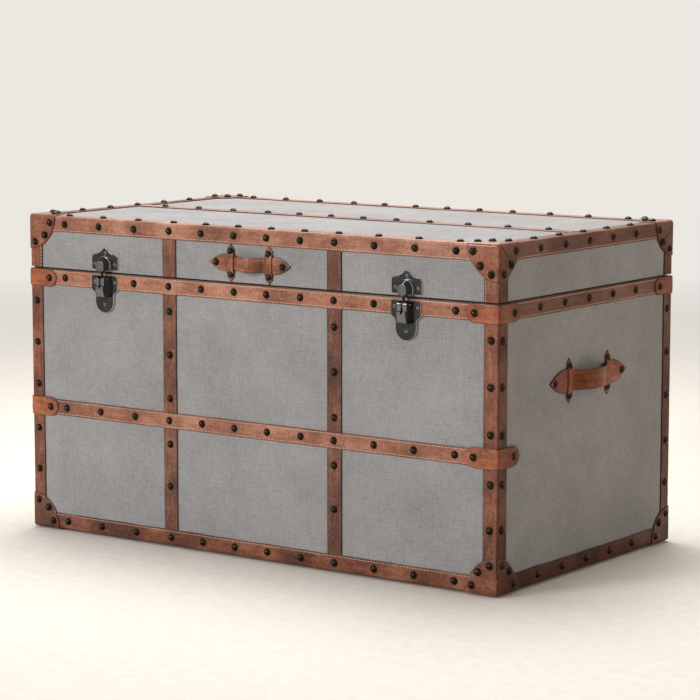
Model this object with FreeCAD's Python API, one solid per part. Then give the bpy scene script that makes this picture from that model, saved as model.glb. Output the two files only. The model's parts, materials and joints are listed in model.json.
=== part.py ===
"""Storage trunk: a cloth-covered board case trimmed in nailed leather, with draw latches and strap handles.

Sizes are in millimetres. X runs along the width, Y from front to back and Z up.
The origin lies on the floor under the middle of the case.
"""
import math
import os

import FreeCAD
import Part

Vec = FreeCAD.Vector

# Case, measured over the leather trim
case_width = 1000.0
case_depth = 560.0
case_height = 570.0
lid_face = 65.0
seam_gap = 3.0
trim_bottom = 4.0

# Sheet and board thicknesses
leather = 2.0
cloth = 1.0
wall_board = 12.0
flat_board = 9.0
lining = 1.0
felt = 2.6
felt_inset = 2.0

# Leather trim
strap = 28.0
upright_x = 177.0
upright_width = 30.0
mid_band_centre = 225.5
cap_reach = 63.0
loop_reach = 62.0
loop_extra = 3.0
edge_round = 3.0
ramp = 4.0

# Nails
nail_head_radius = 7.0
nail_head_height = 5.0
nail_shank_radius = 1.0
nail_length = 9.0
loop_nail = 45.0
row_end = 82.0
end_row = 126.0
cap_nail_radius = 50.0

# Glides
glide_radius = 13.0
glide_inset = 86.0

# Strap handles
grip = 3.0
grip_bend = 8.0
keeper_width = 16.0
keeper_point = 8.0
keeper_nail_in = 13.0
keeper_nail_gap = 4.0
keeper_clear = 0.5
span_clear = 1.0
tip_beyond = 14.5
hand_share = 0.82
lid_half_span = 32.0
lid_grip_rise = 16.0
lid_nail_beyond = 30.6
end_half_span = 53.0
end_grip_rise = 22.0
end_nail_beyond = 46.0
end_keeper_half = 37.5
end_grip_drop = 146.0

# Hinges
hinge_inset = 202.0
hinge_half = 30.0
knuckle_radius = 4.0
knuckle_split = 10.0
knuckle_gap = 0.2
hinge_gap = 0.5
hinge_leaf = 1.2
hinge_pin_radius = 1.8
running = 0.05
lid_open = 100.0

# Slotted lid stays
stay_radius = 150.0
stay_lid_rise = 40.0
stay_body_drop = 55.0
stay_half_width = 8.0
stay_thick = 2.0
stay_side_gap = 0.2
stud_radius = 3.0
stud_flange_radius = 9.0
stud_flange = 2.3
stud_head_radius = 7.0
stud_head = 2.0
slot_gap = 0.15

# Draw latches
latch_inset = 177.0
latch_plate = 3.0
plate_soft = 1.6
plate_corner = 3.0
plate_half = 29.5
plate_drop = 3.0
plate_square = 24.0
plate_waist = 14.0
tail_straight = 8.0
tail_half = 20.5
pivot_drop = 6.5
ear_radius = 3.4
ear_thick = 2.4
ear_gap = 0.4
nose_gap = 0.6
lever_wall = 1.8
lever_lift = 0.2
lever_side = 3.4
lever_flank = 6.5
lever_long = 31.5
lever_floor = 2.2
lever_lip = 1.5
ledge_drop = 11.9
ledge_step = 2.0
throw = 14.0
lever_open = 90.0
rivet_radius = 1.8
cross_pin_radius = 1.6
hook_half = 1.6
hook_side = 0.7
hook_thick = 2.4
hook_wall = 1.6
slot_side = 0.25
slot_spare = 0.25
head_rise = 12.0
head_step = 0.6
head_gap = 0.7
head_soft = 0.8
ring_margin = 1.0
strike_half = 30.0
strike_lift = 3.5
strike_ogee = 16.6
strike_point = 14.6
screw_x = 22.5
plate_screw_drop = 12.0
tail_screw_drop = 5.0
strike_screw_rise = 9.5
screw_radius = 3.6
screw_head = 1.8
screw_shank = 1.5
screw_length = 9.0
screw_slot = 0.9

# Derived levels
front_cloth = case_depth / 2 - leather
end_cloth = case_width / 2 - leather
top_cloth = case_height - leather
wood_y = front_cloth - cloth
wood_x = end_cloth - cloth
wood_top = top_cloth - cloth
inner_y = wood_y - wall_board
inner_x = wood_x - wall_board
body_bottom = trim_bottom + leather
floor_top = body_bottom + flat_board
lid_bottom = case_height - strap - lid_face
seam_bottom = lid_bottom - seam_gap
lid_ceiling = wood_top - flat_board
rim_low = seam_bottom - strap
foot_top = trim_bottom + strap
binding_low = case_height - strap
mid_low = mid_band_centre - strap / 2
mid_high = mid_band_centre + strap / 2
over_x = case_width / 2 + leather
over_y = case_depth / 2 + leather
over_top = case_height + leather
over_bottom = trim_bottom - leather

X_AXIS = Vec(1, 0, 0)
Y_AXIS = Vec(0, 1, 0)
Z_AXIS = Vec(0, 0, 1)
ORIGIN = Vec(0, 0, 0)

# Each face of the case: how a shape built on the front is turned onto it, and how far out its cloth lies
TURNS = {"front": (Z_AXIS, 0), "right": (Z_AXIS, 90), "back": (Z_AXIS, 180), "left": (Z_AXIS, 270)}
TURNS["top"] = (X_AXIS, -90)
REACH = {"front": front_cloth, "back": front_cloth, "left": end_cloth, "right": end_cloth, "top": top_cloth}

parts = {}


def box(x0, x1, y0, y1, z0, z1):
    """Block between two opposite corners."""
    return Part.makeBox(x1 - x0, y1 - y0, z1 - z0, Vec(x0, y0, z0))


def turned(shape, face):
    """Copy of a shape built on the front, turned onto the named face."""
    axis, angle = TURNS[face]
    copy = shape.copy()
    copy.rotate(ORIGIN, axis, angle)
    return copy


def moved(shape, x, y, z):
    """Copy of a shape carried by a step."""
    copy = shape.copy()
    copy.translate(Vec(x, y, z))
    return copy


def prism(moves, place, along):
    """Solid swept along a vector from a closed outline in two coordinates.

    A move that is one point draws a line to it. A move that is a pair of points draws an arc through
    the first to the second. The outline starts at the last point of the last move, and a point already
    reached draws nothing.
    """
    last = moves[-1]
    start = last[1] if isinstance(last[0], tuple) else last
    edges = []
    for move in moves:
        if isinstance(move[0], tuple):
            edges.append(Part.Arc(place(*start), place(*move[0]), place(*move[1])).toShape())
            start = move[1]
        elif math.dist(start, move) > 1e-9:
            edges.append(Part.makeLine(place(*start), place(*move)))
            start = move
    return Part.Face(Part.Wire(edges)).extrude(along)


def on_front(reach):
    """Place for outlines in (along, up) on the plane this far in front of the middle."""
    return lambda s, t: Vec(s, -reach, t)


def in_plan(height):
    """Place for outlines in (along, outward) at one height."""
    return lambda s, h: Vec(s, -h, height)


def in_side(x):
    """Place for outlines in (outward, up) at one distance along the width."""
    return lambda h, z: Vec(x, -h, z)


def stepped(start, end, level, humps):
    """Points (along, height) of a strip's underside that climbs over each hump (from, to, rise)."""
    points = [(start, level)]
    for low, high, rise in humps:
        points += [(low - ramp, level), (low, level + rise), (high, level + rise), (high + ramp, level)]
    points.append((end, level))
    return points


def strip(reach, s0, s1, t0, t1, thick, humps=()):
    """Strip on the front plane from s0 to s1, between heights t0 and t1, stepping over humps."""
    under = stepped(s0, s1, reach, humps)
    over = [(s, h + thick) for s, h in reversed(under)]
    return prism(under + over, in_plan(t0), Vec(0, 0, t1 - t0))


def mirrored_x(shape):
    """Mirror image across the middle plane of the width."""
    return shape.mirror(ORIGIN, X_AXIS)


# Boards, cover and lining
parts["front_board"] = box(-wood_x, wood_x, -wood_y, -inner_y, body_bottom, seam_bottom)
parts["back_board"] = box(-wood_x, wood_x, inner_y, wood_y, body_bottom, seam_bottom)
parts["right_end_board"] = box(inner_x, wood_x, -inner_y, inner_y, body_bottom, seam_bottom)
parts["left_end_board"] = mirrored_x(parts["right_end_board"])
parts["floor_board"] = box(-inner_x, inner_x, -inner_y, inner_y, body_bottom, floor_top)
parts["lid_top_board"] = box(-wood_x, wood_x, -wood_y, wood_y, lid_ceiling, wood_top)
parts["lid_front_rail"] = box(-wood_x, wood_x, -wood_y, -inner_y, lid_bottom, lid_ceiling)
parts["lid_back_rail"] = box(-wood_x, wood_x, inner_y, wood_y, lid_bottom, lid_ceiling)
parts["lid_right_rail"] = box(inner_x, wood_x, -inner_y, inner_y, lid_bottom, lid_ceiling)
parts["lid_left_rail"] = mirrored_x(parts["lid_right_rail"])

body_solid = box(-wood_x, wood_x, -wood_y, wood_y, body_bottom, seam_bottom)
body_cover = box(-end_cloth, end_cloth, -front_cloth, front_cloth, body_bottom, seam_bottom)
lid_solid = box(-wood_x, wood_x, -wood_y, wood_y, lid_bottom, wood_top)
lid_cover = box(-end_cloth, end_cloth, -front_cloth, front_cloth, lid_bottom, top_cloth)
parts["body_cloth"] = body_cover.cut(body_solid)
parts["lid_cloth"] = lid_cover.cut(lid_solid)

lined_x = inner_x - lining
lined_y = inner_y - lining
body_room = box(-inner_x, inner_x, -inner_y, inner_y, floor_top, seam_bottom)
body_space = box(-lined_x, lined_x, -lined_y, lined_y, floor_top + lining, seam_bottom)
parts["body_lining"] = body_room.cut(body_space)
lid_room = box(-inner_x, inner_x, -inner_y, inner_y, lid_bottom, lid_ceiling)
lid_space = box(-lined_x, lined_x, -lined_y, lined_y, lid_bottom, lid_ceiling - lining)
parts["lid_lining"] = lid_room.cut(lid_space)

# Felt on the rim, along the front and the ends
felt_x = wood_x - felt_inset
felt_y = wood_y - felt_inset
felt_inner_x = inner_x + felt_inset
felt_inner_y = inner_y + felt_inset
felt_frame = box(-felt_x, felt_x, -felt_y, inner_y, seam_bottom, seam_bottom + felt)
felt_hole = box(-felt_inner_x, felt_inner_x, -felt_inner_y, inner_y, seam_bottom, seam_bottom + felt)
parts["rim_felt"] = felt_frame.cut(felt_hole)

# Glides under the floor, one near each corner and one in the middle
glides = [Part.makeCylinder(glide_radius, body_bottom, ORIGIN)]
for side_x in (-1, 1):
    for side_y in (-1, 1):
        foot = Vec(side_x * (case_width / 2 - glide_inset), side_y * (case_depth / 2 - glide_inset), 0)
        glides.append(Part.makeCylinder(glide_radius, body_bottom, foot))
parts["floor_glides"] = Part.makeCompound(glides)


# Flat leather strips and angle bindings
def corner_post(low, high):
    """Leather angle at the front right corner with a rounded outer edge, between two heights."""
    half_x = case_width / 2
    half_y = case_depth / 2
    mid = edge_round * (1 - math.sqrt(0.5))
    moves = [
        (half_x - strap, front_cloth),
        (half_x - strap, half_y),
        (half_x - edge_round, half_y),
        ((half_x - mid, half_y - mid), (half_x, half_y - edge_round)),
        (half_x, half_y - strap),
        (end_cloth, half_y - strap),
        (end_cloth, front_cloth),
    ]
    return prism(moves, in_plan(low), Vec(0, 0, high - low))


def four_corners(shape):
    """A piece at the front right corner and its copies at the other three."""
    half_turn = shape.copy()
    half_turn.rotate(ORIGIN, Z_AXIS, 180)
    return [shape, mirrored_x(shape), half_turn, mirrored_x(half_turn)]


def angle_binding(reach, half_length, flange_half, edge_z, up):
    """Leather angle along a top edge (up = 1) or a bottom edge (up = -1) of the front plane."""
    out = reach + leather
    inner_z = edge_z - up * leather
    low_z = edge_z - up * strap
    back = out - strap
    mid = leather * (1 - math.sqrt(0.5))
    leg = [
        (reach, low_z),
        (out, low_z),
        (out, inner_z),
        ((out - mid, edge_z - up * mid), (reach, edge_z)),
        (reach, inner_z),
    ]
    flange = [(reach, inner_z), (reach, edge_z), (back, edge_z), (back, inner_z)]
    leg_solid = prism(leg, in_side(-half_length), Vec(2 * half_length, 0, 0))
    flange_solid = prism(flange, in_side(-flange_half), Vec(2 * flange_half, 0, 0))
    return leg_solid.fuse(flange_solid).removeSplitter()


def four_bindings(edge_z, up):
    """Bindings round one edge: the front and back run through, the ends fit between them."""
    flange_between = case_depth / 2 - strap
    long_one = angle_binding(front_cloth, case_width / 2, case_width / 2, edge_z, up)
    short_one = angle_binding(end_cloth, front_cloth, flange_between, edge_z, up)
    ends = [turned(short_one, "left"), turned(short_one, "right")]
    return [turned(long_one, "front"), turned(long_one, "back")] + ends


posts = four_corners(corner_post(foot_top, rim_low))
lid_posts = four_corners(corner_post(lid_bottom, binding_low))
foot_bindings = four_bindings(trim_bottom, -1)
lid_bindings = four_bindings(case_height, 1)
parts["corner_posts"] = Part.makeCompound(posts)
parts["lid_posts"] = Part.makeCompound(lid_posts)
parts["foot_bindings"] = Part.makeCompound(foot_bindings)
parts["lid_bindings"] = Part.makeCompound(lid_bindings)

half_upright = upright_width / 2
uprights = []
lid_uprights = []
crossings = []
for side in (-1, 1):
    left = side * upright_x - half_upright
    right = side * upright_x + half_upright
    uprights.append(strip(front_cloth, left, right, foot_top, seam_bottom, leather))
    lid_uprights.append(strip(front_cloth, left, right, lid_bottom, binding_low, leather))
    crossings.append((left, right, leather))
parts["front_uprights"] = Part.makeCompound(uprights)
parts["lid_uprights"] = Part.makeCompound(lid_uprights)

band_half = case_width / 2
rim_front = strip(front_cloth, -band_half, band_half, rim_low, seam_bottom, leather, crossings)
rim_back = turned(strip(front_cloth, -band_half, band_half, rim_low, seam_bottom, leather), "back")
rim_end = strip(end_cloth, -front_cloth, front_cloth, rim_low, seam_bottom, leather)
rim_bands = [rim_front, rim_back, turned(rim_end, "left"), turned(rim_end, "right")]
parts["rim_bands"] = Part.makeCompound(rim_bands)

mid_half = case_width / 2 - strap
mid_band = strip(front_cloth, -mid_half, mid_half, mid_low, mid_high, leather, crossings)
parts["mid_band"] = mid_band
parts["lid_top_strap"] = turned(strip(top_cloth, -mid_half, mid_half, -strap / 2, strap / 2, leather), "top")

# Moulded leather over the corners
over_block = box(-over_x, over_x, -over_y, over_y, over_bottom, over_top)
over_block = over_block.makeFillet(edge_round + leather, over_block.Edges)


def corner_cap(corner_z, under):
    """Cap on a front right corner: the rounded block's shell inside a ball, seated on what lies under it."""
    ball = Part.makeSphere(cap_reach, Vec(case_width / 2, -case_depth / 2, corner_z))
    cap = over_block.common(ball)
    for shape in under:
        cap = cap.cut(shape)
    return cap.removeSplitter()


def corner_loop(low, high, under):
    """Loop round the front right corner, with rounded ends, seated on what lies under it."""
    radius = (high - low) / 2
    mid = (low + high) / 2
    deep = 20.0
    half_x = case_width / 2
    half_y = case_depth / 2

    def leg(half):
        tip = half - loop_reach
        round_end = (tip + radius, high)
        tail = ((tip, mid), (tip + radius, low))
        moves = [round_end, tail, (half + deep, low), (half + deep, high)]
        return prism(moves, on_front(0), Vec(0, -deep, 0))

    front_leg = moved(leg(half_x), 0, -front_cloth, 0)
    end_leg = moved(mirrored_x(leg(half_y)), 0, -end_cloth, 0)
    loop = over_block.common(front_leg.fuse(turned(end_leg, "right")))
    for shape in under:
        loop = loop.cut(shape)
    return loop.removeSplitter()


right_post = posts[0]
loop_low = rim_low - loop_extra
rim_loop = corner_loop(loop_low, seam_bottom, [body_cover, rim_bands[0], rim_bands[3], right_post])
mid_loop_low = mid_low - loop_extra
mid_loop_high = mid_high + loop_extra
mid_loop = corner_loop(mid_loop_low, mid_loop_high, [body_cover, right_post, mid_band])
foot_cap = corner_cap(trim_bottom, [body_cover, right_post, foot_bindings[0], foot_bindings[3]])
lid_cap = corner_cap(case_height, [lid_cover, lid_posts[0], lid_bindings[0], lid_bindings[3]])
parts["rim_loops"] = Part.makeCompound(four_corners(rim_loop))
parts["mid_loops"] = Part.makeCompound([mid_loop, mirrored_x(mid_loop)])
parts["foot_caps"] = Part.makeCompound(four_corners(foot_cap))
parts["lid_caps"] = Part.makeCompound(four_corners(lid_cap))


# Strap handles
def bow_line(half_span, rise, offset):
    """Points of a bowed line: flat, an arc away from the face, a crown arc, and back, offset outward."""
    lean = 2 * math.atan(rise / half_span)
    bend = grip_bend - offset
    low = [(-half_span + bend * math.sin(a), grip_bend - bend * math.cos(a)) for a in (0, lean / 2, lean)]
    top = (0, rise + offset)
    high = [(-s, h) for s, h in reversed(low)]
    return low, top, high


def grip_sizes(centre, half_span, rise, nail_beyond, keeper_half):
    """Places along and across one handle, worked out from its span and its keepers."""
    keeper_at = half_span + keeper_width / 2 + span_clear
    nail_at = keeper_at + nail_beyond
    keeper_nail = keeper_half - keeper_nail_in
    return {
        "centre": centre,
        "half_span": half_span,
        "rise": rise,
        "keeper_at": keeper_at,
        "nail_at": nail_at,
        "tip": nail_at + tip_beyond,
        "keeper_half": keeper_half,
        "keeper_nail": keeper_nail,
        "tab": keeper_nail - keeper_nail_gap,
    }


def handle_strap(reach, sizes):
    """Bowed leather strap with leaf-shaped tabs, lying on the front plane."""
    half_span = sizes["half_span"]
    tip = sizes["tip"]
    tab = sizes["tab"]
    hand = tab * hand_share
    low, top, high = bow_line(half_span, sizes["rise"], 0)
    low_out, top_out, high_out = bow_line(half_span, sizes["rise"], grip)
    moves = [
        (-tip, 0),
        low[0],
        (low[1], low[2]),
        (top, high[0]),
        (high[1], high[2]),
        (tip, 0),
        (tip, grip),
        high_out[2],
        (high_out[1], high_out[0]),
        (top_out, low_out[2]),
        (low_out[1], low_out[0]),
        (-tip, grip),
    ]
    band = prism(moves, in_plan(-2 * tab), Vec(0, 0, 4 * tab))
    leaf = sizes["keeper_at"] + keeper_width / 2
    curve = ((tip - leaf) ** 2 + tab**2) / (2 * tab)
    half_way = (leaf + tip) / 2
    half_out = tab - curve + math.sqrt(curve**2 - (half_way - leaf) ** 2)
    leaf_moves = [
        ((half_way, half_out), (leaf, tab)),
        (half_span, hand),
        (-half_span, hand),
        (-leaf, tab),
        ((-half_way, half_out), (-tip, 0)),
        ((-half_way, -half_out), (-leaf, -tab)),
        (-half_span, -hand),
        (half_span, -hand),
        (leaf, -tab),
        ((half_way, -half_out), (tip, 0)),
    ]
    outline = prism(leaf_moves, on_front(-reach), Vec(0, -3 * reach, 0))
    return moved(band.common(outline), 0, -reach, sizes["centre"])


def handle_keeper(reach, at, sizes):
    """Leather keeper across a handle strap, with pointed ends."""
    tab = sizes["tab"]
    long = sizes["keeper_half"]
    shoulder = long - keeper_point
    across = strip(0, -long, long, -keeper_width, keeper_width, leather, [(-tab, tab, grip)])
    across.rotate(ORIGIN, Y_AXIS, 90)
    half = keeper_width / 2
    upper = [(-half, shoulder), (0, long), (half, shoulder)]
    lower = [(half, -shoulder), (0, -long), (-half, -shoulder)]
    outline = prism(upper + lower, on_front(0), Vec(0, -4 * grip, 0))
    return moved(across.common(outline), at, -reach, sizes["centre"])


lid_keeper_half = lid_face / 2 - keeper_clear
lid_grip_z = lid_bottom + lid_face / 2
end_grip_z = seam_bottom - end_grip_drop
lid_grip = grip_sizes(lid_grip_z, lid_half_span, lid_grip_rise, lid_nail_beyond, lid_keeper_half)
end_grip = grip_sizes(end_grip_z, end_half_span, end_grip_rise, end_nail_beyond, end_keeper_half)


def keepers(reach, sizes):
    """The two keepers of one handle."""
    return [handle_keeper(reach, side * sizes["keeper_at"], sizes) for side in (-1, 1)]


end_handle = handle_strap(end_cloth, end_grip)
parts["left_handle"] = turned(end_handle, "left")
parts["right_handle"] = turned(end_handle, "right")
end_keepers = keepers(end_cloth, end_grip)
end_keeper_pieces = []
for face in ("left", "right"):
    end_keeper_pieces += [turned(piece, face) for piece in end_keepers]
parts["end_keepers"] = Part.makeCompound(end_keeper_pieces)
parts["lid_handle"] = handle_strap(front_cloth, lid_grip)
parts["lid_keepers"] = Part.makeCompound(keepers(front_cloth, lid_grip))


# Dome-headed nails
def headed_pin(head_radius, head_height, shank_radius, tail):
    """One nail or screw along Y: a dome head in front of the origin and a shank behind it."""
    ball = (head_radius**2 + head_height**2) / (2 * head_height)
    lean = math.asin(head_radius / ball) / 2
    half_way = (ball * math.sin(lean), head_height - ball + ball * math.cos(lean))
    moves = [(0, head_height), (half_way, (head_radius, 0)), (shank_radius, 0)] + tail
    edges = []
    start = moves[-1]
    for move in moves:
        if isinstance(move[0], tuple):
            ends = [Vec(s, -h, 0) for s, h in (start, move[0], move[1])]
            edges.append(Part.Arc(*ends).toShape())
            start = move[1]
        else:
            edges.append(Part.makeLine(Vec(start[0], -start[1], 0), Vec(move[0], -move[1], 0)))
            start = move
    return Part.Face(Part.Wire(edges)).revolve(ORIGIN, Y_AXIS, 360)


nail_tail = [(nail_shank_radius, 3 * nail_shank_radius - nail_length), (0, -nail_length)]
one_nail = headed_pin(nail_head_radius, nail_head_height, nail_shank_radius, nail_tail)


def nails(face, spots, level):
    """Nails on a face at (along, up) spots, their heads on leather this far above the cloth."""
    out = REACH[face] + level
    return [turned(moved(one_nail, s, -out, t), face) for s, t in spots]


def both_sides(values):
    """Each value on both sides of the middle."""
    return [sign * value for value in values for sign in (-1, 1)]


last_in_row = case_width / 2 - row_end
side_pitch = (last_in_row - upright_x) / 3
bay_nails = both_sides([upright_x * 0.2, upright_x * 0.6])
upright_nails = both_sides([upright_x])
side_nails = both_sides([upright_x + side_pitch, upright_x + 2 * side_pitch, last_in_row])
end_last = case_depth / 2 - end_row
end_nails = [0] + both_sides([end_last / 2, end_last])
row_x = bay_nails + upright_nails + side_nails
loop_x = both_sides([case_width / 2 - loop_nail])
loop_y = both_sides([case_depth / 2 - loop_nail])
rim_z = (rim_low + seam_bottom) / 2
loop_z = (loop_low + seam_bottom) / 2
foot_z = (trim_bottom + foot_top) / 2
binding_z = (binding_low + case_height) / 2
post_in = strap / 2
upper_bay = rim_low - mid_high
lower_bay = mid_low - foot_top
post_z = [rim_low - 0.145 * upper_bay, rim_low - 0.51 * upper_bay, rim_low - 0.88 * upper_bay]
post_z += [mid_low - 0.155 * lower_bay, mid_low - 0.57 * lower_bay]
post_x = both_sides([case_width / 2 - post_in])
post_y = both_sides([case_depth / 2 - post_in])
two_high = 2 * leather


def grid(along, up):
    """Every pairing of two lists of places."""
    return [(s, t) for s in along for t in up]


def cap_spots(half, edge_t, inward):
    """Cap nails at both corners of a face, on a circle round each corner point."""
    spots = []
    for degrees in (15, 45, 75):
        angle = math.radians(degrees)
        up = edge_t + inward * cap_nail_radius * math.sin(angle)
        spots += grid(both_sides([half - cap_nail_radius * math.cos(angle)]), [up])
    return spots


half_w = case_width / 2
half_d = case_depth / 2
plain_row = bay_nails + side_nails
latch_x = case_width / 2 - latch_inset
latch_clear = plate_half + nail_head_radius
beside_latches = [x for x in plain_row if abs(abs(x) - latch_x) > latch_clear]
front_rows = nails("front", grid(beside_latches, [rim_z]), leather)
front_rows += nails("front", grid(plain_row, [mid_band_centre]), leather)
front_rows += nails("front", grid(upright_nails, [rim_z, mid_band_centre]), two_high)
front_rows += nails("front", grid(row_x, [foot_z]), leather)
front_rows += nails("front", grid(post_x + upright_nails, post_z), leather)
front_rows += nails("front", grid(loop_x, [loop_z, mid_band_centre]), two_high)
front_rows += nails("front", cap_spots(half_w, trim_bottom, 1), two_high)
back_rows = nails("back", grid(row_x, [rim_z, foot_z]), leather)
back_rows += nails("back", grid(post_x, post_z), leather)
back_rows += nails("back", grid(loop_x, [loop_z]), two_high)
back_rows += nails("back", cap_spots(half_w, trim_bottom, 1), two_high)
end_rows = []
lid_end_rows = []
for face, front_side in (("left", 1), ("right", -1)):
    end_rows += nails(face, grid(end_nails, [rim_z, foot_z]), leather)
    end_rows += nails(face, grid(post_y, post_z), leather)
    end_rows += nails(face, grid(loop_y, [loop_z]), two_high)
    end_rows += nails(face, [(front_side * (half_d - loop_nail), mid_band_centre)], two_high)
    end_rows += nails(face, cap_spots(half_d, trim_bottom, 1), two_high)
    end_rows += nails(face, grid(both_sides([end_grip["nail_at"]]), [end_grip_z]), grip)
    keeper_z = [end_grip_z - end_grip["keeper_nail"], end_grip_z + end_grip["keeper_nail"]]
    end_rows += nails(face, grid(both_sides([end_grip["keeper_at"]]), keeper_z), leather)
    lid_end_rows += nails(face, grid(end_nails, [binding_z]), leather)
    lid_end_rows += nails(face, cap_spots(half_d, case_height, -1), two_high)
lid_front_rows = nails("front", grid(row_x, [binding_z]), leather)
lid_front_rows += nails("front", cap_spots(half_w, case_height, -1), two_high)
lid_front_rows += nails("front", grid(both_sides([lid_grip["nail_at"]]), [lid_grip_z]), grip)
lid_keeper_z = [lid_grip_z - lid_grip["keeper_nail"], lid_grip_z + lid_grip["keeper_nail"]]
lid_front_rows += nails("front", grid(both_sides([lid_grip["keeper_at"]]), lid_keeper_z), leather)
lid_back_rows = nails("back", grid(row_x, [binding_z]), leather)
lid_back_rows += nails("back", cap_spots(half_w, case_height, -1), two_high)
lid_top_rows = nails("top", grid(row_x, post_y + [0]), leather)
lid_top_rows += nails("top", grid(post_x, end_nails), leather)
lid_top_rows += nails("top", cap_spots(half_w, -half_d, 1), two_high)
lid_top_rows += nails("top", cap_spots(half_w, half_d, -1), two_high)
parts["front_nails"] = Part.makeCompound(front_rows)
parts["back_nails"] = Part.makeCompound(back_rows)
parts["end_nails"] = Part.makeCompound(end_rows)
parts["lid_front_nails"] = Part.makeCompound(lid_front_rows)
parts["lid_back_nails"] = Part.makeCompound(lid_back_rows)
parts["lid_end_nails"] = Part.makeCompound(lid_end_rows)
parts["lid_top_nails"] = Part.makeCompound(lid_top_rows)

# Hinges in the back seam
axis_y = case_depth / 2 + knuckle_radius + hinge_gap
axis_z = seam_bottom + seam_gap / 2
leaf_front = inner_y + cloth


def cross_bar(radius, half, y, z):
    """Round bar along X, centred on the middle of the width."""
    return Part.makeCylinder(radius, 2 * half, Vec(-half, y, z), X_AXIS)


def knuckle_ring(x0, x1, leaf_low):
    """Barrel on the hinge line with a tongue to its leaf, from x0 to x1."""
    barrel = Part.makeCylinder(knuckle_radius, x1 - x0, Vec(x0, axis_y, axis_z), X_AXIS)
    tongue = box(x0, x1, case_depth / 2, axis_y, leaf_low, leaf_low + hinge_leaf)
    return barrel.fuse(tongue)


def hinge_piece(leaf_low, spans):
    """Hinge leaf with the barrels it carries."""
    leaf = box(-hinge_half, hinge_half, leaf_front, case_depth / 2, leaf_low, leaf_low + hinge_leaf)
    for x0, x1 in spans:
        leaf = leaf.fuse(knuckle_ring(x0, x1, leaf_low))
    return leaf.cut(cross_bar(hinge_pin_radius + running, 2 * hinge_half, axis_y, axis_z)).removeSplitter()


outer_start = knuckle_split + knuckle_gap
body_leaf = hinge_piece(seam_bottom, [(-hinge_half, -outer_start), (outer_start, hinge_half)])
lid_leaf = hinge_piece(lid_bottom - hinge_leaf, [(-knuckle_split, knuckle_split)])
hinge_pin = cross_bar(hinge_pin_radius, hinge_half, axis_y, axis_z)
hinge_x = case_width / 2 - hinge_inset
hinge_places = (-hinge_x, 0, hinge_x)
parts["hinge_body_leaves"] = Part.makeCompound([moved(body_leaf, x, 0, 0) for x in hinge_places])
parts["hinge_lid_leaves"] = Part.makeCompound([moved(lid_leaf, x, 0, 0) for x in hinge_places])
parts["hinge_pins"] = Part.makeCompound([moved(hinge_pin, x, 0, 0) for x in hinge_places])

# Slotted lid stays: the lid pivot and the body stud lie on one circle round the hinge line,
# so the slotted arm turns by half the lid's angle and its slot always runs through the stud
lid_lift = math.asin(stay_lid_rise / stay_radius)
body_fall = math.asin(stay_body_drop / stay_radius)
closed_angle = lid_lift + body_fall
open_angle = closed_angle + math.radians(lid_open)
slot_near = 2 * stay_radius * math.sin(closed_angle / 2)
slot_far = 2 * stay_radius * math.sin(open_angle / 2)
pivot_y = axis_y - stay_radius * math.cos(lid_lift)
stay_pivot_z = axis_z + stay_lid_rise
stud_y = axis_y - stay_radius * math.cos(body_fall)
stud_z = axis_z - stay_body_drop
arm_outer = lined_x - stud_flange - stay_side_gap
arm_inner = arm_outer - stay_thick


def rounded_bar(start, end, half):
    """Bar hanging down from its pivot, between two distances along it, with round ends."""
    moves = [
        (half, -end),
        (half, -start),
        ((0, -start + half), (-half, -start)),
        (-half, -end),
        ((0, -end - half), (half, -end)),
    ]
    return prism(moves, in_side(arm_inner), Vec(stay_thick, 0, 0))


slot_half = stud_radius + slot_gap
arm = rounded_bar(0, slot_far, stay_half_width).cut(rounded_bar(slot_near, slot_far, slot_half))
pivot_hole = Part.makeCylinder(stud_radius + running, stay_thick, Vec(arm_inner, 0, 0), X_AXIS)
arm = arm.cut(pivot_hole)
hang = math.degrees(math.atan2(stud_y - pivot_y, stay_pivot_z - stud_z))
arm.rotate(ORIGIN, X_AXIS, hang)
arm = moved(arm, 0, pivot_y, stay_pivot_z)


def stay_stud(y, z):
    """Stud on the inside of the right end: a flange on the lining, a post through the arm and a head."""
    flange = Part.makeCylinder(stud_flange_radius, stud_flange, Vec(lined_x - stud_flange, y, z), X_AXIS)
    head_x = arm_inner - stay_side_gap - stud_head
    post = Part.makeCylinder(stud_radius, lined_x - head_x, Vec(head_x, y, z), X_AXIS)
    head = Part.makeCylinder(stud_head_radius, stud_head, Vec(head_x, y, z), X_AXIS)
    return flange.fuse(post).fuse(head).removeSplitter()


body_stud = stay_stud(stud_y, stud_z)
lid_pivot = stay_stud(pivot_y, stay_pivot_z)
parts["stay_studs"] = Part.makeCompound([mirrored_x(body_stud), body_stud])
parts["stay_pivots"] = Part.makeCompound([mirrored_x(lid_pivot), lid_pivot])
parts["stay_arm_right"] = arm
parts["stay_arm_left"] = mirrored_x(arm)

# Draw latches, built on the middle of the front and then carried to both sides
band_face = case_depth / 2
plate_face = band_face + latch_plate


def mirrored_outline(right_moves):
    """Full outline from the right half, listed from the top middle round to the bottom middle."""
    left = []
    points = [right_moves[0]]
    for move in right_moves[1:]:
        points.append(move[1] if isinstance(move[0], tuple) else move)
    for index in range(len(right_moves) - 1, 0, -1):
        move = right_moves[index]
        target = (-points[index - 1][0], points[index - 1][1])
        if isinstance(move[0], tuple):
            left.append(((-move[0][0], move[0][1]), target))
        else:
            left.append(target)
    return right_moves + left


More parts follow.
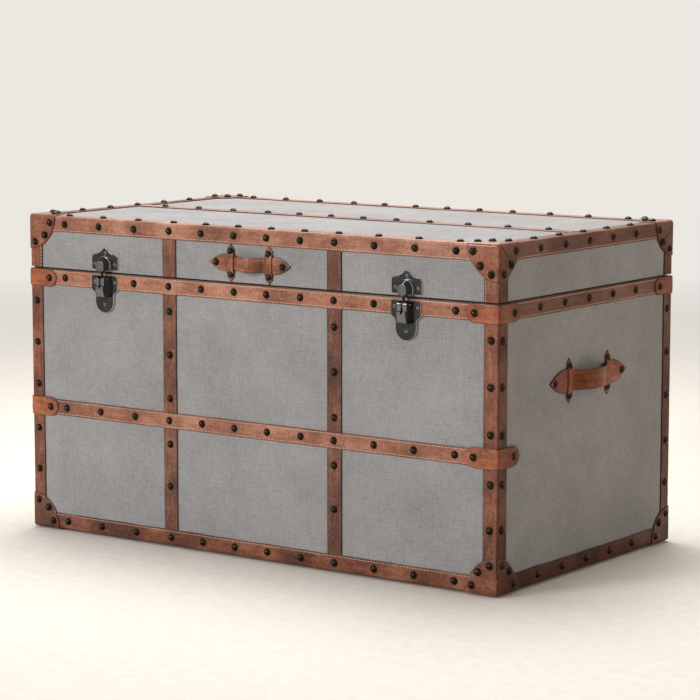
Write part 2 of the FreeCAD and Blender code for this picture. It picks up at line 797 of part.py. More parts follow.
plate_top = seam_bottom - plate_drop
plate_shoulder = plate_top - plate_square
waist = plate_shoulder - plate_waist
tail_centre = waist - tail_straight
tail_bottom = tail_centre - tail_half
corner_soft = plate_corner * (1 - math.sqrt(0.5))
tail_round = tail_half * math.sqrt(0.5)
hip = plate_half - tail_half
hip_point = (plate_half - 0.5 * hip, waist + 0.64 * plate_waist)
shoulder_bend = (plate_half - 0.16 * hip, waist + 0.76 * plate_waist)
plate_moves = [
    (0, plate_top),
    (plate_half - plate_corner, plate_top),
    ((plate_half - corner_soft, plate_top - corner_soft), (plate_half, plate_top - plate_corner)),
    (plate_half, plate_shoulder),
    (shoulder_bend, hip_point),
    ((tail_half + 0.16 * hip, waist + 0.4 * plate_waist), (tail_half, waist)),
    (tail_half, tail_centre),
    ((tail_round, tail_centre - tail_round), (0, tail_bottom)),
]
plate_outline = mirrored_outline(plate_moves)


def softened(solid, out, radius):
    """Round the edges of a solid that lie on its outward face, this far in front of the middle."""
    chosen = []
    for edge in solid.Edges:
        limits = edge.BoundBox
        if abs(limits.YMin + out) < 1e-4 and abs(limits.YMax + out) < 1e-4:
            chosen.append(edge)
    return solid.makeFillet(radius, chosen)


knuckle = ear_radius + nose_gap + lever_wall
pivot_out = latch_plate + lever_lift + knuckle
pivot_y_front = band_face + pivot_out
pivot_z = plate_top - pivot_drop
ear_inner = hook_half + hook_side
ear_outer = ear_inner + ear_thick
cheek_inner = ear_outer + ear_gap
base = prism(plate_outline, on_front(front_cloth), Vec(0, -(leather + latch_plate), 0))
band_room = box(-case_width, case_width, -band_face, 0, rim_low, seam_bottom)
base = softened(base.cut(band_room), plate_face, plate_soft)
ear_root = plate_face - latch_plate / 2
ear_moves = [
    (ear_root, pivot_z - ear_radius),
    (pivot_y_front, pivot_z - ear_radius),
    ((pivot_y_front + ear_radius, pivot_z), (pivot_y_front, pivot_z + ear_radius)),
    (ear_root, pivot_z + ear_radius),
]
ear = prism(ear_moves, in_side(ear_inner), Vec(ear_thick, 0, 0))
ear = ear.cut(cross_bar(rivet_radius, 2 * ear_outer, -pivot_y_front, pivot_z))
base = base.fuse(ear).fuse(mirrored_x(ear)).removeSplitter()

# Lever: a cast thumb piece with leaning flanks, hollow behind and stepped along its length
lever_back = pivot_y_front - knuckle
lever_out = pivot_y_front + knuckle
thumb_out = lever_out + ledge_step
lever_bottom = pivot_z - lever_long
lever_ledge = pivot_z - ledge_drop
face_half = cheek_inner + lever_side
lever_half = face_half + lever_flank
thumb_end = (lever_out - 0.3 * ledge_step, lever_bottom + 0.8 * ledge_step)
thumb_curl = (lever_out - 0.7 * ledge_step, lever_bottom + 0.2 * ledge_step)
lever_moves = [
    (lever_back, lever_bottom + 1.25 * knuckle),
    (lever_back, pivot_z),
    ((pivot_y_front, pivot_z + knuckle), (lever_out, pivot_z)),
    (lever_out, lever_ledge + 0.6 * ledge_step),
    (thumb_out, lever_ledge - 0.2 * ledge_step),
    ((thumb_out - 0.25 * ledge_step, lever_ledge - 5 * ledge_step), thumb_end),
    (thumb_curl, (lever_out - 1.3 * ledge_step, lever_bottom)),
    (lever_back + 0.7 * knuckle, lever_bottom),
]


def flank_at(out):
    """Half width of the lever's leaning flanks, this far in front of the middle."""
    return lever_half - lever_flank * (out - lever_back) / (thumb_out - lever_back)


def leaning_block(back, front, low, high):
    """Block whose flanks lean in as the lever's do, between two distances out and two heights."""
    moves = [
        (-flank_at(back), back),
        (-flank_at(front), front),
        (flank_at(front), front),
        (flank_at(back), back),
    ]
    return prism(moves, in_plan(low), Vec(0, 0, high - low))


cavity_out = lever_out - lever_wall
lever_top = pivot_z + knuckle
lever = prism(lever_moves, in_side(-lever_half), Vec(2 * lever_half, 0, 0))
lever = lever.common(leaning_block(lever_back, thumb_out, lever_bottom, lever_top))
floor_z = lever_bottom + lever_floor
lever = lever.cut(box(-cheek_inner, cheek_inner, -cavity_out, -band_face, floor_z, lever_top))
lever = lever.cut(box(-cheek_inner, cheek_inner, -thumb_out, -band_face, pivot_z + lever_lip, lever_top))
lever = lever.cut(cross_bar(rivet_radius + running, lever_half, -pivot_y_front, pivot_z))

# Slot in the lever's face, as deep as the upright hook's shank needs when the lever stands open
cross_z = pivot_z - throw
hook_turn = math.radians(lever_open)
wall_ahead = cavity_out - pivot_y_front
slot_rise = wall_ahead / math.tan(hook_turn) - hook_thick / 2 / math.sin(hook_turn) - slot_spare
slot_low = cross_z + slot_rise
slot_half = hook_half + slot_side
lever = lever.cut(box(-slot_half, slot_half, -thumb_out, -pivot_y_front, slot_low, lever_top))
cross_pin = cross_bar(cross_pin_radius, cheek_inner + lever_side / 2, -pivot_y_front, cross_z)
lever = lever.fuse(cross_pin).removeSplitter()

# Rivets that carry the lever, pressed into the ears
rivet_end = flank_at(pivot_y_front + rivet_radius) - running
rivet_place = Vec(ear_inner, -pivot_y_front, pivot_z)
rivet = Part.makeCylinder(rivet_radius, rivet_end - ear_inner, rivet_place, X_AXIS)

# Hook: an eye on the cross pin, a shank with a heel that fills the slot, and a head with leaning flanks
hook_back = pivot_y_front - hook_thick / 2
hook_front = hook_back + hook_thick
head_back = hook_back - head_step
head_front = lever_out
head_half = lever_half
head_centre = lid_bottom + head_rise
head_low = lid_bottom
head_side = head_centre - head_half / 5
outline_moves = [
    (-2 * hook_half, head_low),
    (-head_half, head_side),
    (-head_half, head_centre),
    ((0, head_centre + head_half), (head_half, head_centre)),
    (head_half, head_side),
    (2 * hook_half, head_low),
]
head_deep = head_front - head_back
crown = Part.makeCone(head_half, face_half, head_deep, Vec(0, -head_back, head_centre), Vec(0, -1, 0))
stem_moves = [
    (-head_half, head_back),
    (-face_half, head_front),
    (face_half, head_front),
    (head_half, head_back),
]
stem = prism(stem_moves, in_plan(head_low), Vec(0, 0, head_centre - head_low))
head = crown.fuse(stem).common(prism(outline_moves, on_front(head_back), Vec(0, -head_deep, 0)))
head = softened(head.removeSplitter(), head_front, head_soft)
hook_eye_radius = cross_pin_radius + hook_wall
eye = cross_bar(hook_eye_radius, hook_half, -pivot_y_front, cross_z)
shank = box(-hook_half, hook_half, -hook_front, -hook_back, cross_z, head_low + head_rise / 2)
heel_out = lever_out - slot_spare
heel_low = cross_z + thumb_out - pivot_y_front + slot_spare
heel = box(-hook_half, hook_half, -heel_out, -hook_back, heel_low, pivot_z + lever_lip)
hook = eye.fuse(shank).fuse(heel).fuse(head)
pin_run = cross_bar(cross_pin_radius + running, 2 * hook_half, -pivot_y_front, cross_z)
hook = hook.cut(pin_run).removeSplitter()

# Strike: an ogee plate on the lid with a raised seat behind the hook's head
ring_radius = head_half + ring_margin
ring_top = head_centre + ring_radius
strike_apex = ring_top + strike_point
strike_bottom = lid_bottom + strike_lift


def ogee(along, down):
    """Point of the strike's pointed top, in shares of its half width and of the ogee's height."""
    return (along * strike_half, strike_apex - down * strike_ogee)


strike_moves = [
    (0, strike_apex),
    (ogee(0.1, 0.06), ogee(0.18, 0.19)),
    (ogee(0.42, 0.51), ogee(0.82, 0.71)),
    (ogee(0.95, 0.84), ogee(1, 1.06)),
    (strike_half, strike_bottom + plate_corner),
    ((strike_half - corner_soft, strike_bottom + corner_soft), (strike_half - plate_corner, strike_bottom)),
    (0, strike_bottom),
]
strike_face = front_cloth + latch_plate
strike = prism(mirrored_outline(strike_moves), on_front(front_cloth), Vec(0, -latch_plate, 0))
strike = softened(strike, strike_face, plate_soft)
ring_front = head_back - head_gap
ring_low = strike_bottom + plate_soft
ring_moves = [
    (-ring_radius, ring_low),
    (-ring_radius, head_centre),
    ((0, ring_top), (ring_radius, head_centre)),
    (ring_radius, ring_low),
]
ring = prism(ring_moves, on_front(front_cloth), Vec(0, -(ring_front - front_cloth), 0))
strike = strike.fuse(softened(ring, ring_front, plate_soft)).removeSplitter()


# Slotted round-headed screws of the latches
screw_tail = [(screw_shank, -screw_length), (0, -screw_length)]
one_screw = headed_pin(screw_radius, screw_head, screw_shank, screw_tail)
slot_half_wide = screw_slot / 2
screw_cut = box(-screw_radius, screw_radius, -screw_head, -screw_head / 2, -slot_half_wide, slot_half_wide)
one_screw = one_screw.cut(screw_cut)


def screw(x, z, face_y):
    """Screw driven square to the front with its head on the plane this far out."""
    return moved(one_screw, x, -face_y, z)


plate_screw_z = plate_top - plate_screw_drop
strike_screw_z = strike_bottom + strike_screw_rise
base_screw_spots = [(-screw_x, plate_screw_z), (screw_x, plate_screw_z), (0, tail_centre - tail_screw_drop)]
strike_screw_spots = [(-screw_x, strike_screw_z), (screw_x, strike_screw_z), (0, ring_top + strike_point / 3)]
screws = []
strike_screws = []
rivets = []
for name, side in (("left", -1), ("right", 1)):
    at = side * latch_x
    parts["latch_base_" + name] = moved(base, at, 0, 0)
    parts["latch_lever_" + name] = moved(lever, at, 0, 0)
    parts["latch_hook_" + name] = moved(hook, at, 0, 0)
    parts["strike_" + name] = moved(strike, at, 0, 0)
    screws += [screw(at + x, z, plate_face) for x, z in base_screw_spots]
    strike_screws += [screw(at + x, z, strike_face) for x, z in strike_screw_spots]
    rivets += [moved(rivet, at, 0, 0), moved(mirrored_x(rivet), at, 0, 0)]
parts["latch_screws"] = Part.makeCompound(screws)
parts["strike_screws"] = Part.makeCompound(strike_screws)
parts["lever_rivets"] = Part.makeCompound(rivets)

os.makedirs("parts", exist_ok=True)
for node, shape in parts.items():
    shape.exportStep("parts/" + node + ".step")
print(len(parts), "nodes")
print("hinge line y", round(axis_y, 3), "z", round(axis_z, 3))
print("stay pivot y", round(pivot_y, 3), "z", round(stay_pivot_z, 3))
print("stay stud y", round(stud_y, 3), "z", round(stud_z, 3))
print("lever pivot y", round(-pivot_y_front, 3), "z", pivot_z, "hook pin z", cross_z)
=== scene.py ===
# %% [markdown]
# # A storage trunk in cloth and nailed leather
# The trunk is a board case with a hinged lid. Grey cloth covers the boards, leather straps cover
# the cloth's edges, and dome-headed nails hold the straps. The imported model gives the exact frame:
# boards, hinges, stays and latches stay as they come. This lesson dresses that frame, so that every
# soft piece gets the rounded edges, dents, stitches and finish that flat solids lack.

# %% Load the frame
import json
import math

import bmesh
import bpy
import numpy as np
from mathutils import Matrix


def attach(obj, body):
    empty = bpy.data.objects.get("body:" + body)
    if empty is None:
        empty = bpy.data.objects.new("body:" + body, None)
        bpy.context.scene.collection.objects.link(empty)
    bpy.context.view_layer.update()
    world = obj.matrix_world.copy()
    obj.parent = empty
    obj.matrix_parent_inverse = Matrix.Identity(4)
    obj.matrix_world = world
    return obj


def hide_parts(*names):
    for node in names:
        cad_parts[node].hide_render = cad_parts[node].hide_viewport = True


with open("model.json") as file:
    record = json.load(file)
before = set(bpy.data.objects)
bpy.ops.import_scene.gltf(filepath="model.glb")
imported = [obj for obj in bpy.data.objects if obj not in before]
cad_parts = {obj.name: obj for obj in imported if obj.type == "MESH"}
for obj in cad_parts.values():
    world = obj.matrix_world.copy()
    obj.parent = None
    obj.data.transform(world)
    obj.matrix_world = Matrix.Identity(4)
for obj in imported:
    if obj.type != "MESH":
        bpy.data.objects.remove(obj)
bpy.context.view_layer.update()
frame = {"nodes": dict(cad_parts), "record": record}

# %% [markdown]
# ## Sizes
# All lengths are metres in the frame's own axes: X along the width, Y to the back, Z up. The
# distances below are the case's own, so every strap, nail and stitch is worked out from a few values.

# %% Sizes of the case
MM, TINY = 0.001, 1e-9
HALF_W, HALF_D, TOP = 0.500, 0.280, 0.570
LEATHER, GRIP = 2 * MM, 3 * MM
DOUBLE = 2 * LEATHER
FRONT_CLOTH, END_CLOTH, TOP_CLOTH = HALF_D - LEATHER, HALF_W - LEATHER, TOP - LEATHER
SEAM, LID_LOW, FOOT_LOW, FOOT_CLOTH = 0.474, 0.477, 0.004, 0.006
STRAP, UPRIGHT_X, UPRIGHT_HALF = 0.028, 0.177, 0.015
RIM_LOW, FOOT_TOP, BINDING_LOW = SEAM - STRAP, FOOT_LOW + STRAP, TOP - STRAP
MID_Z, MID_LOW, MID_TOP = 0.2255, 0.2115, 0.2395
RIM_Z, FOOT_Z, BINDING_Z = SEAM - STRAP / 2, FOOT_LOW + STRAP / 2, TOP - STRAP / 2
CAP_REACH, LOOP_REACH, LOOP_NAIL, LOOP_LAP = 0.063, 0.062, 0.045, 3 * MM
LOOP_LOW = RIM_LOW - LOOP_LAP
LOOP_Z = (LOOP_LOW + SEAM) / 2
print("case", 2 * HALF_W, "x", 2 * HALF_D, "x", TOP)

# %% [markdown]
# ## Places on the case
# A strap is easiest to describe flat: so far along a face, so far across it, so high above its cloth.
# A face map turns those three numbers into a point. An edge map does the same for leather that is
# bent round an edge of the case. The alternative, building flat and rotating objects, would leave
# turned objects, and textures would turn with them.

# %% Face maps
FACES = {
    "front": ((0, -FRONT_CLOTH, 0), (1, 0, 0), (0, 0, 1), (0, -1, 0)),
    "back": ((0, FRONT_CLOTH, 0), (-1, 0, 0), (0, 0, 1), (0, 1, 0)),
    "right": ((END_CLOTH, 0, 0), (0, 1, 0), (0, 0, 1), (1, 0, 0)),
    "left": ((-END_CLOTH, 0, 0), (0, -1, 0), (0, 0, 1), (-1, 0, 0)),
    "top": ((0, 0, TOP_CLOTH), (1, 0, 0), (0, 1, 0), (0, 0, 1)),
    "rim": ((0, 0, SEAM), (1, 0, 0), (0, 1, 0), (0, 0, 1)),
}


def face_map(face):
    """P(s, t, h) = origin + s * along + t * up + h * outward."""
    origin, along, up, out = (np.array(v, float) for v in FACES[face])

    def place(s, t, h):
        s, t, h = np.broadcast_arrays(s, t, h)
        return origin + s[..., None] * along + t[..., None] * up + h[..., None] * out

    return place


# %% Edge maps
BEND = 3.5 * MM


def edge_map(corner, p_out, q_out, run, level, bend):
    """P(a, s, h): a is the way round the edge, negative on face p and positive on face q.

    Height h above both faces gives the corner (h, h), which is then rounded to radius bend.
    """
    corner, p_out, q_out, run = (np.array(v, float) for v in (corner, p_out, q_out, run))

    def place(a, s, h):
        a, s, h = np.broadcast_arrays(a, s, h)
        p = np.minimum(level - a, h)
        q = np.minimum(level + a, h)
        inner = h - bend
        dp = np.maximum(p - inner, 0)
        dq = np.maximum(q - inner, 0)
        length = np.maximum(np.hypot(dp, dq), TINY)
        near = (dp > 0) & (dq > 0)
        p = np.where(near, inner + bend * dp / length, p)
        q = np.where(near, inner + bend * dq / length, q)
        return corner + s[..., None] * run + p[..., None] * p_out + q[..., None] * q_out

    return place


def corner_map(sign_x, sign_y, level, bend):
    """Edge map of an upright corner: a is negative on the front or back and positive on the end."""
    foot = (sign_x * END_CLOTH, sign_y * FRONT_CLOTH, 0)
    return edge_map(foot, (0, sign_y, 0), (sign_x, 0, 0), (0, 0, 1), level, bend)


def turned_map(place):
    """The same map with the two flat directions swapped, for straps that run upwards."""
    return lambda s, t, h: place(t, s, h)


rounded = corner_map(1, -1, LEATHER, BEND)(np.zeros(1), 0.0, LEATHER)[0]
print("front right corner of the leather:", np.round(rounded, 4))

# %% [markdown]
# ## Meshes from grids
# Each piece is one or more grids of points. Quads join neighbouring points, and the whole array goes
# into the mesh at once with foreach_set, which is far quicker than adding points one by one. Points
# that fall together at a tip are merged, and edges sharper than 50 degrees stay crisp.

# %% Grids
def quads(rows, columns, wrap):
    """Corner numbers of every quad of a grid whose columns close up if wrap is true."""
    i, j = np.meshgrid(np.arange(rows - 1), np.arange(columns if wrap else columns - 1), indexing="ij")
    k = (j + 1) % columns
    here, below = i * columns, (i + 1) * columns
    return np.stack([here + j, below + j, below + k, here + k], -1).reshape(-1, 4)


def grid_shell(points, marks, run, wrap):
    """Points, faces, marks and run of one grid, as plain lists."""
    faces = quads(*points.shape[:2], wrap)
    return points.reshape(-1, 3), faces, marks.reshape(-1, 4), run.reshape(-1, 3)


def plain_marks(count):
    """No edge, no nail, no seam and no run, for pieces whose finish needs none."""
    return np.tile([0.0, 0.0, 0.0, 1.0], (count, 1)), np.zeros((count, 3))


def join_shells(shells):
    """One (points, faces, marks, run) from several, with the face numbers carried on."""
    starts = np.cumsum([0] + [len(shell[0]) for shell in shells[:-1]])
    faces = np.concatenate([shell[1] + start for shell, start in zip(shells, starts)])
    points, marks, run = (np.concatenate([shell[k] for shell in shells]) for k in (0, 2, 3))
    return points, faces, marks, run


# %% Pieces
WELD, CREASE = 2e-6, math.radians(50)


def mesh_of(name, shells, weld):
    """One mesh from several shells, whose points carry the marks as a colour and the run as a vector."""
    points, faces, marks, run = join_shells(shells)
    mesh = bpy.data.meshes.new(name)
    mesh.vertices.add(len(points))
    mesh.vertices.foreach_set("co", points.astype(np.float32).ravel())
    mesh.loops.add(faces.size)
    mesh.loops.foreach_set("vertex_index", faces.astype(np.int32).ravel())
    mesh.polygons.add(len(faces))
    mesh.polygons.foreach_set("loop_start", np.arange(0, faces.size, 4, dtype=np.int32))
    mesh.update(calc_edges=True)
    mark = mesh.attributes.new("edge_and_shade_marks", "FLOAT_COLOR", "POINT")
    mark.data.foreach_set("color", marks.astype(np.float32).ravel())
    way = mesh.attributes.new("run", "FLOAT_VECTOR", "POINT")
    way.data.foreach_set("vector", run.astype(np.float32).ravel())
    if weld:
        work = bmesh.new()
        work.from_mesh(mesh)
        bmesh.ops.remove_doubles(work, verts=work.verts, dist=WELD)
        bmesh.ops.recalc_face_normals(work, faces=work.faces)
        work.to_mesh(mesh)
        work.free()
    mesh.polygons.foreach_set("use_smooth", np.ones(len(mesh.polygons), bool))
    mesh.set_sharp_from_angle(angle=CREASE)
    return mesh


def make_piece(name, shells, material, body, nodes=(), weld=True):
    """Put shells into one mesh object that rides on a body and stands for CAD nodes."""
    mesh = mesh_of(name, shells, weld)
    mesh.materials.append(material)
    piece = bpy.data.objects.new(name, mesh)
    bpy.context.scene.collection.objects.link(piece)
    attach(piece, body)
    if nodes:
        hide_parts(*nodes)
    print(f"{name}: {len(mesh.polygons)} faces")
    return piece


# %% [markdown]
# ## Finishes
# Leather, cloth and metal all need colour that drifts over a surface. Soft noise on each piece's own
# coordinates gives that, blended between three tones, and it needs no unwrapping and no image. What
# several materials share is a node group, built once and placed with its own values.

# %% Node helpers
def feed(tree, socket, value):
    """Link a socket, or set it to a number or a colour."""
    if isinstance(value, bpy.types.NodeSocket):
        tree.links.new(value, socket)
    else:
        socket.default_value = (*value, 1) if isinstance(value, tuple) else value


def node(tree, kind, links=(), **values):
    """A node with settings, socket values and links: links are (input, source socket)."""
    made = tree.nodes.new(kind)
    for key, value in values.items():
        if hasattr(made, key):
            setattr(made, key, value)
        else:
            made.inputs[key.replace("_", " ")].default_value = value
    for target, source in links:
        tree.links.new(source, made.inputs[target])
    return made


def arithmetic(tree, operation, *terms):
    """One Math node on values that are sockets or numbers."""
    made = node(tree, "ShaderNodeMath", operation=operation)
    for socket, term in zip(made.inputs, terms):
        feed(tree, socket, term)
    return made.outputs[0]


def weighted(tree, *terms):
    """Sum of values, each times its weight."""
    total = None
    for value, weight in terms:
        part = arithmetic(tree, "MULTIPLY", value, weight)
        total = part if total is None else arithmetic(tree, "ADD", total, part)
    return total


def span(tree, source, low, high, to_low=0.0, to_high=1.0):
    """Map a value's range low..high onto another range, clamped."""
    ranged = node(tree, "ShaderNodeMapRange", [("Value", source)])
    for label, value in (("From Min", low), ("From Max", high), ("To Min", to_low), ("To Max", to_high)):
        ranged.inputs[label].default_value = value
    return ranged.outputs[0]


# %% Colour and noise helpers
def mix_colour(tree, factor, first, second):
    """Blend two colours, each a socket or a value, by a factor socket."""
    mix = node(tree, "ShaderNodeMix", data_type="RGBA")
    for index, source in ((0, factor), (6, first), (7, second)):
        feed(tree, mix.inputs[index], source)
    return mix.outputs[2]


def three_tones(tree, value, dark, mid, light):
    """Dark at 0, mid at one half and light at 1, blended evenly between."""
    lower = mix_colour(tree, span(tree, value, 0.0, 0.5), dark, mid)
    return mix_colour(tree, span(tree, value, 0.5, 1.0), lower, light)


def own_place(tree):
    """The point in the piece's own coordinates."""
    return node(tree, "ShaderNodeTexCoord").outputs["Object"]


def stretched(tree, vector, *scale):
    """A vector scaled by its own amount along each axis."""
    return node(tree, "ShaderNodeMapping", [("Vector", vector)], Scale=scale).outputs[0]


def noise(tree, vector, scale, detail, **values):
    """Soft noise; the scale is a number or a socket."""
    made = node(tree, "ShaderNodeTexNoise", [("Vector", vector)], Detail=detail, **values)
    feed(tree, made.inputs["Scale"], scale)
    return made.outputs[0]


# %% Mottle group
def new_group(name, inputs, outputs):
    """An empty shader node group with named sockets."""
    group = bpy.data.node_groups.new(name, "ShaderNodeTree")
    for label, kind, value in inputs:
        socket = group.interface.new_socket(label, in_out="INPUT", socket_type=kind)
        socket.default_value = value
    for label, kind in outputs:
        group.interface.new_socket(label, in_out="OUTPUT", socket_type=kind)
    return group, group.nodes.new("NodeGroupInput"), group.nodes.new("NodeGroupOutput")


def mottle_group():
    """Two sizes of soft noise blend three colours: Dark below, Mid between, Light above."""
    labels = ("Dark", "Mid", "Light")
    inputs = [("Scale", "NodeSocketFloat", 20.0)]
    inputs += [(label, "NodeSocketColor", (0.5, 0.5, 0.5, 1)) for label in labels]
    outputs = [("Color", "NodeSocketColor"), ("Value", "NodeSocketFloat")]
    group, given, result = new_group("mottle", inputs, outputs)
    where, scale = own_place(group), given.outputs["Scale"]
    large = noise(group, where, scale, 5.0)
    small = noise(group, where, arithmetic(group, "MULTIPLY", scale, 6.3), 4.0)
    value = span(group, weighted(group, (large, 0.5), (small, 0.5)), 0.36, 0.64)
    tones = three_tones(group, value, *(given.outputs[label] for label in labels))
    group.links.new(tones, result.inputs["Color"])
    group.links.new(value, result.inputs["Value"])
    return group


# %% Hide group
def hide_group():
    """Leather: tone from patches, long streaks and specks; height from pebbles, creases and streaks.

    Edge, Nail, Seam and the last mark come from the mesh, as does the way along the strap that stretches
    the streaks. Nail, Seam and the last mark place painted shade: round the nails, in the stitch grooves and
    on the end faces. Edge places a burnished cut edge together with painted shade along it.
    """
    inputs = [("Pebbles", "NodeSocketFloat", 700.0), ("Creases", "NodeSocketFloat", 60.0)]
    labels = ("Tone", "Height", "Edge", "Nail", "Seam", "Lit_Share")
    group, given, result = new_group("hide", inputs, [(label, "NodeSocketFloat") for label in labels])
    where = own_place(group)
    way = node(group, "ShaderNodeAttribute", attribute_name="run").outputs["Vector"]
    streak = noise(group, stretched(group, way, 26.0, 150.0, 1.0), 1.0, 5.0, Roughness=0.6)
    patch = noise(group, where, 13.0, 4.0)
    speck = noise(group, where, 210.0, 4.0)
    tone = weighted(group, (patch, 0.50), (streak, 0.27), (speck, 0.23))
    pebbles = [("Vector", where), ("Scale", given.outputs["Pebbles"])]
    cells = node(group, "ShaderNodeTexVoronoi", pebbles).outputs["Distance"]
    creases = noise(group, where, given.outputs["Creases"], 6.0, Roughness=0.65, Distortion=1.2)
    pebble = span(group, cells, 0.0, 0.7, 0.35, 0.0)
    height = weighted(group, (pebble, 1.0), (creases, 1.0), (streak, 0.7))
    marks = node(group, "ShaderNodeAttribute", attribute_name="edge_and_shade_marks")
    split = node(group, "ShaderNodeSeparateColor", [("Color", marks.outputs["Color"])])
    sources = (span(group, tone, 0.39, 0.615), height, *split.outputs[:3], marks.outputs["Alpha"])
    for label, source in zip(labels, sources):
        group.links.new(source, result.inputs[label])
    return group


MOTTLE, HIDE = mottle_group(), hide_group()
print("groups:", MOTTLE.name, "and", HIDE.name)


# %% Material helpers
def use_group(tree, group, **values):
    """Place a node group in a material with its own values."""
    placed = tree.nodes.new("ShaderNodeGroup")
    placed.node_tree = group
    for label, value in values.items():
        feed(tree, placed.inputs[label], value)
    return placed.outputs


def new_material(name, **settings):
    """A material with one Principled BSDF whose plain values are set on its own sockets."""
    material = bpy.data.materials.new(name)
    material.use_nodes = True
    tree = material.node_tree
    shader = tree.nodes["Principled BSDF"]
    for label, value in settings.items():
        shader.inputs[label.replace("_", " ")].default_value = value
    return material, tree, shader


def link_all(tree, shader, **sources):
    """Link sources to the shader's sockets by name."""
    for label, source in sources.items():
        tree.links.new(source, shader.inputs[label.replace("_", " ")])


def bump(tree, shader, height, strength, distance):
    """Feed a height into the shader's normal."""
    made = node(tree, "ShaderNodeBump", [("Height", height)], Strength=strength, Distance=distance)
    tree.links.new(made.outputs[0], shader.inputs["Normal"])


# %% [markdown]
# ## Leather
# The straps are waxed hide. Their colour goes darker along the cut edges, which are burnished and also
# carry painted shade, and painted shade lies round each nail, in the groove under the stitches and over
# the end faces. A painted image could show that, but it would have to be laid on every strap. Here each
# mesh carries a colour attribute: red, green and blue say how near an edge, a nail and a seam are, and
# alpha says how much of the colour is kept, 1 on the lit front and less on an end painted darker as shade.
# One recipe turns that into tone. Each kind of strap has its own three tones, set to how it looks on the
# trunk; the uprights' tones are lifted part way towards the sheen on one of them, which is painted light.

# %% Leather recipe
# DEEP scales the dark tone into the one used for painted shade.
DEEP = 0.35


def leather_material(name, dark, mid, light, rough, gloss, wax):
    """Waxed leather: streaky tones; cut edges darkened as burnish with painted shade; painted shade round the
    nails, in the groove under the stitches and on the end faces.

    rough is the roughness of a middle tone, gloss the specular level and wax the coat on the lit front,
    which falls to a tenth on the ends painted darker as shade.
    """
    material, tree, shader = new_material(name, Specular_IOR_Level=gloss, Coat_Roughness=0.2)
    hide = use_group(tree, HIDE, Pebbles=900.0, Creases=75.0)
    deep = tuple(c * DEEP for c in dark)
    tones = three_tones(tree, hide["Tone"], dark, mid, light)
    # Painted shade: the end faces go towards the deep tone, by the last mark.
    tones = mix_colour(tree, hide["Lit_Share"], deep, tones)
    # Painted shade in the groove under the stitches.
    tones = mix_colour(tree, span(tree, hide["Seam"], 0.2, 1, 0, 0.55), tones, dark)
    # Painted shade in a ring round each nail.
    tones = mix_colour(tree, span(tree, hide["Nail"], 0.45, 0.85, 0, 0.6), tones, deep)
    # Cut edges: a burnished edge with painted shade along it; on the lid caps also the fold, as painted shade
    # in its crease.
    tones = mix_colour(tree, span(tree, hide["Edge"], 0.3, 0.95, 0, 0.85), tones, deep)
    shine = span(tree, hide["Tone"], 0, 1, rough + 0.12, rough - 0.08)
    coat = span(tree, hide["Lit_Share"], 0.5, 1.0, 0.1 * wax, wax)
    link_all(tree, shader, Base_Color=tones, Roughness=shine, Coat_Weight=coat)
    bump(tree, shader, hide["Height"], 0.4, 0.0009)
    return material


# %% Hides of the trunk
# Three tones per kind of strap; the uprights' are lifted part way towards the sheen on one of them, which is
# painted light.
RECIPES = {
    "band": ((0.15, 0.052, 0.029), (0.285, 0.111, 0.065), (0.44, 0.215, 0.142), 0.38, 0.16, 0.32),
    "post": ((0.055, 0.014, 0.006), (0.16, 0.044, 0.019), (0.31, 0.112, 0.06), 0.32, 0.12, 0.62),
    "rim": ((0.18, 0.064, 0.035), (0.345, 0.138, 0.081), (0.50, 0.25, 0.165), 0.38, 0.16, 0.34),
    "upright": ((0.045, 0.014, 0.008), (0.130, 0.045, 0.025), (0.26, 0.108, 0.066), 0.34, 0.14, 0.45),
    "cap": ((0.07, 0.018, 0.008), (0.20, 0.060, 0.028), (0.37, 0.145, 0.08), 0.30, 0.12, 0.5),
    "end_grip": ((0.09, 0.020, 0.007), (0.235, 0.060, 0.020), (0.39, 0.13, 0.052), 0.27, 0.12, 0.12),
    "grip": ((0.06, 0.015, 0.006), (0.19, 0.054, 0.022), (0.37, 0.14, 0.066), 0.25, 0.15, 0.55),
    "rim_loop": ((0.13, 0.031, 0.011), (0.285, 0.076, 0.030), (0.42, 0.150, 0.073), 0.30, 0.12, 0.4),
    "mid_loop": ((0.17, 0.047, 0.018), (0.37, 0.112, 0.047), (0.51, 0.200, 0.100), 0.30, 0.12, 0.4),
}
HIDES = {name: leather_material(name + "_leather", *recipe) for name, recipe in RECIPES.items()}
# Colour kept on end faces painted darker as shade: bindings, rim band, post legs, loops and caps.
END_PAINTED_SHADE, RIM_END_PAINTED_SHADE, POST_END_PAINTED_SHADE, WRAPPED_PAINTED_SHADE = 0.40, 0.33, 0.5, 0.55


def leather_piece(name, shells, hide, body, node_name):
    """A piece in one of the hides, in place of its CAD node."""
    return make_piece(name, shells, HIDES[hide], body, [node_name])


print("hides:", ", ".join(HIDES))

# %% [markdown]
# ## Cloth, felt and thread
# The grey cover is a matt woven cloth, and so is the pale lining. Modelling threads would take millions
# of faces. Two noises stretched across each other look like weft and warp from any distance that shows
# the trunk, and a third, slower one makes the cloth drift in tone. Felt and thread use it more finely.

